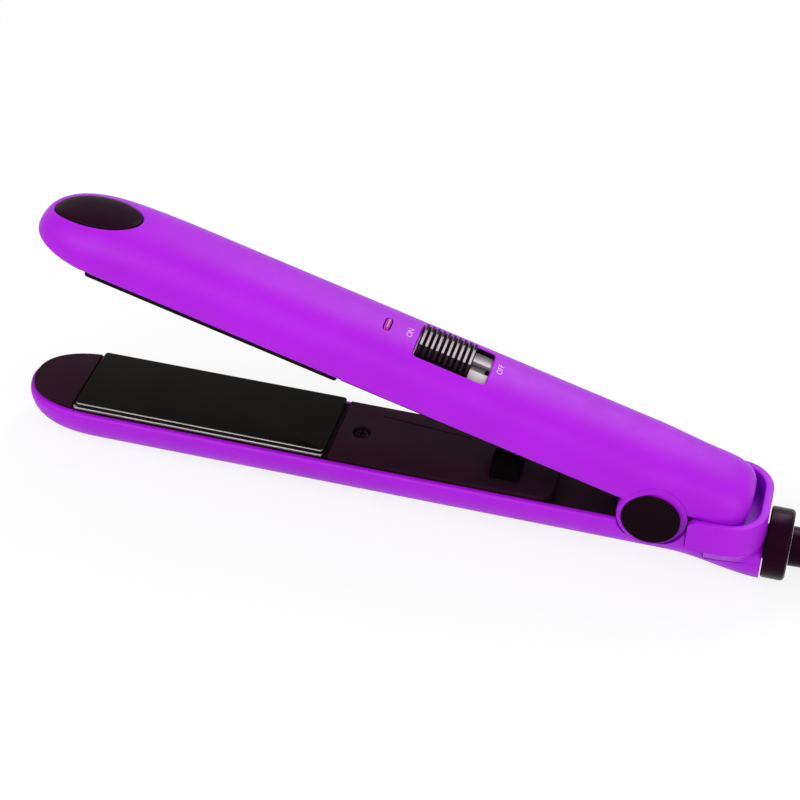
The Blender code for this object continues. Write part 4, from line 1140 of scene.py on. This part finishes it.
# %% [markdown]
# ## The decks
# A black deck closes each arm from the nose to the handle. It stands proud of the rim, on which its lip
# lies at the nose. The outline follows the nose of the arm and ends in two round corners. It is wider
# where it is the lip.

# %% Outline of a deck
COVER_END, DECK_CORNER, LIP_START, LIP_LENGTH, SCREW_X = 0.1240, 0.0060, 0.0012, 0.0258, 0.0543


def deck_outline(tip, inset, lip):
    half = ARM_HALF - WALL - (0.0003 if lip else 0.0005) - inset
    start = tip + inset + (LIP_START if lip else WALL + 0.0006)
    length = LIP_LENGTH if lip else NOSE_LENGTH
    near = [(start + length * u, -half * rounded(u, NOSE_POWER)) for u in NOSE_STEPS]
    return both_sides(near + round_corner(COVER_END - inset, half, DECK_CORNER - inset, 10))


def disc(radius, z, count):
    """A level ring about the axis of the deck's screw."""
    return level(oval(SCREW_X, radius, radius, 2.0, 0.0, count), z)


print("deck outline of", len(deck_outline(TIP_X, 0.0, True)), "points")

# %% [markdown]
# The outline is drawn upwards and rounded over. The deck carries the plate in a sunk tray, steps down
# towards the hinge, and has one screw in a deep seat. These are welded on and carved, as a moulder would
# do in wax, and one function makes both decks, the upper one turned over.

# %% Deck of either arm
COVER_Z, COVER_THICK, STEP_END, COVER_STEP_Z, DECK_Z = -0.0032, 0.0017, 0.1450, -0.0072, -0.0014
TRAY_Z, TRAY_HALF, PLATE_HALF, BUMPER = -0.0082, 0.0126, 0.0450, (0.1014, 0.1118)


def deck(name, side, tip):
    heights = [(0.0003, COVER_Z - COVER_THICK, False), (0.0, COVER_Z - COVER_THICK + 0.0003, False)]
    heights += [(0.0, COVER_Z + GAP, False), (0.0, COVER_Z + GAP + 0.0001, True)]
    heights += [(0.0, DECK_Z - 0.0006, True), (0.00005, DECK_Z - 0.00035, True)]
    heights += [(0.0002, DECK_Z - 0.00012, True), (0.0006, DECK_Z, True)]
    piece = draw_out(name, [level(deck_outline(tip, inset, lip), side * z) for inset, z, lip in heights])

    def slab(low, high):
        zs = sorted((side * low[2], side * high[2]))
        return block("slab", (low[0], low[1], zs[0]), (high[0], high[1], zs[1]))

    ends = PLATE_HALF + 0.0015
    tray_low = (-ends - 0.0014, -TRAY_HALF, TRAY_Z - 0.0013)
    weld(piece, slab(tray_low, (ends + 0.0014, TRAY_HALF, COVER_Z - 0.0010)))
    step_x = COVER_END - 0.0080
    weld(piece, slab((step_x, -TRAY_HALF, COVER_STEP_Z - 0.0016), (STEP_END, TRAY_HALF, COVER_STEP_Z)))
    web = TRAY_HALF - 0.0005
    weld(piece, slab((step_x, -web, COVER_STEP_Z - 0.0010), (step_x + 0.0016, web, COVER_Z - 0.0008)))
    weld(piece, slab((0.0513, -0.0046, COVER_Z - 0.0026), (0.0573, 0.0046, COVER_Z - 0.0010)))
    carve(piece, slab((-ends, -0.03, TRAY_Z), (ends, 0.03, 0.01)))
    seat = [(0.0031, COVER_Z - 0.0003), (0.0031, DECK_Z - 0.0003), (0.0035, DECK_Z + 0.0002), (0.0035, 0.0)]
    bore = [(0.0017, -0.0120), (0.0017, 0.0)]
    for profile in (seat, bore):
        carve(piece, draw_out("seat", [disc(radius, side * z, 40) for radius, z in profile]))
    score = slab((-0.0160, -0.00024, DECK_Z - 0.0008), (0.0160, 0.00024, 0.0))
    score.matrix_world = Matrix.Translation((0.0755, 0.0088, 0)) @ Matrix.Rotation(-0.0848, 4, "Z")
    carve(piece, score)
    if side < 0:
        carve(piece, slab((BUMPER[0] - 0.0008, -0.0104, -0.0080), (BUMPER[1] + 0.0008, 0.0104, 0.0)))
    clean(piece)
    return piece


ARMS = (("lower", 1, LOWER_ARM), ("upper", -1, UPPER_ARM))
for label, side, place in ARMS:
    cover = deck(f"{label}_deck", side, TIP_X if side > 0 else UPPER_TIP_X)
    hand_over(cover, place, DECK_BLACK, f"{label}_arm", f"{label}_inner_cover", 30)

# %% [markdown]
# The screws sit at the bottom of their seats. A screw is turned from rings, and its cross is cut with
# two thin blocks. It is blackened, so only its edges shine.

# %% Deck screws
for label, side, place in ARMS:
    profile = [(-0.0036, 0.0008), (-0.0032, 0.0014), (0.0, 0.0014), (0.00005, 0.0026), (0.0006, 0.0026)]
    profile += [(0.0009, 0.0024), (0.0011, 0.0018), (0.0012, 0.0010)]
    rings = [disc(radius, side * (COVER_Z + z), 32) for z, radius in profile]
    screw = draw_out(f"{label}_deck_screw", rings)
    for dx, dy in ((0.0017, 0.00028), (0.00028, 0.0017)):
        zs = sorted((side * (COVER_Z + 0.0004), side * (COVER_Z + 0.0020)))
        carve(screw, block("drive", (SCREW_X - dx, -dy, zs[0]), (SCREW_X + dx, dy, zs[1])))
    clean(screw)
    hand_over(screw, place, DARK_STEEL, f"{label}_arm", f"{label}_cover_screw", 30)

# %% [markdown]
# ## The hot plates
# A hot plate is a bar of aluminium under a black ceramic glaze. Seen from the side it has a bevelled
# edge, a groove and a bare flange. The outline is a rectangle with small round corners, drawn down
# from the face, and the faces are then given glaze or bare metal by their height. Only the long sides of
# the lower plate show bare metal. The ends, and the whole upper plate, whose edges face down into shade,
# are glazed dark instead: painted shade.

# %% Hot plates
PLATE_SIDE, PLATE_CORNER, FLANGE_DROP, FLANGE_PAST = 0.0150, 0.0012, 0.0017, 0.0012


def plate_loop(inset, z, past_tip=0.0):
    half_x, half_y, corner = PLATE_HALF - inset, PLATE_SIDE - inset, max(PLATE_CORNER - inset, 0.0004)
    loop = []
    for cx, cy, turn in ((1, 1, 0), (-1, 1, 1), (-1, -1, 2), (1, -1, 3)):
        for i in range(7):
            a = pi / 2 * (turn + i / 6)
            x = cx * (half_x - corner) + corner * cos(a)
            x -= past_tip if cx < 0 else 0.0
            loop.append((x, cy * (half_y - corner) + corner * sin(a), z))
    return loop


def bare(face):
    drop, long_side = abs(face.center.z), abs(face.center.y) > 0.0140 and abs(face.normal.x) < 0.3
    return long_side and (drop > FLANGE_DROP or 0.00001 < drop < 0.0002)


for label, side, place in ARMS:
    profile = [(0.0026, 0.0003), (0.0025, -0.0001), (0.0020, -0.0001), (0.0018, 0.0001), (0.00172, 0.0008)]
    profile += [(0.0014, 0.0008), (0.0013, 0.0001), (0.0012, 0.0), (0.0005, 0.0), (0.0002, 0.00008)]
    profile += [(0.00006, 0.00025), (0.0, 0.0005)]
    loops = []
    for drop, inset in profile:
        loops.append(plate_loop(inset, -side * drop, FLANGE_PAST if drop > FLANGE_DROP else 0.0))
    plate = draw_out(f"{label}_hot_plate", loops)
    # Bare metal only on the lower plate's long sides; the upper plate and the ends are glazed dark as painted
    # shade.
    paint(plate, CERAMIC, BARE_EDGE, lambda face: side > 0 and bare(face))
    hand_over(plate, place, CERAMIC, f"{label}_arm", f"{label}_plate", 25)

# %% [markdown]
# The bumper stands on the lower deck. As the arms close it enters a window in the upper deck and keeps
# them in line, so its sides slope. It is drawn up from its foot, its edges are rounded, and a fine groove
# is cut in the middle of its near face.

# %% Bumper
BUMPER_TOP = 0.0062
loops = []
for inset, half, z in ((0.0, 0.0107, DECK_Z + GAP), (0.0006, 0.0062, BUMPER_TOP)):
    x0, x1 = BUMPER[0] + inset, BUMPER[1] - inset
    loops.append([(x0, -half, z), (x1, -half, z), (x1, half, z), (x0, half, z)])
bumper = draw_out("arm_bumper", loops)
bevel_edges(bumper, lambda m, d: m.z > 0.0, 0.0009, 4)
groove = block("bumper_groove", (-0.0002, -0.0003, -0.0015), (0.0002, 0.0003, 0.0015))
groove.matrix_world = Matrix.Translation((sum(BUMPER) / 2, -0.0076, 0.0039)) @ Matrix.Rotation(-0.554, 4, "X")
carve(bumper, groove)
clean(bumper)
hand_over(bumper, LOWER_ARM, RUBBER_BLACK, "lower_arm", "closing_bumper", 35)

# %% [markdown]
# ## What is left as it is
# Deep inside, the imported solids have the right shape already: frames, heaters, clamps, pads, leads and
# the parts of the hinge. They keep their meshes and only get finishes.

# %% Finishes for the inner solids
INNER = {
    "plate_frame": DECK_BLACK, "heater": MICA, "heater_clamp": ALUMINIUM, "cushion_front": SILICONE,
    "cushion_rear": SILICONE, "lead_live": RED_WIRE, "lead_neutral": BLUE_WIRE,
}
dress = {f"{arm}_{name}": material for arm in ("lower", "upper") for name, material in INNER.items()}
dress |= {
    "thermostat": NYLON, "thermal_fuse": STEEL, "hinge_pin": STEEL, "opening_spring": SPRING,
    "terminal_block": NYLON, "circuit_board": BOARD, "switch_body": NYLON, "indicator_lamp": LENS,
}
for name, material in dress.items():
    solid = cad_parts[name]
    solid.data.materials.clear()
    solid.data.materials.append(material)
print("finishes given to", len(dress), "inner solids")
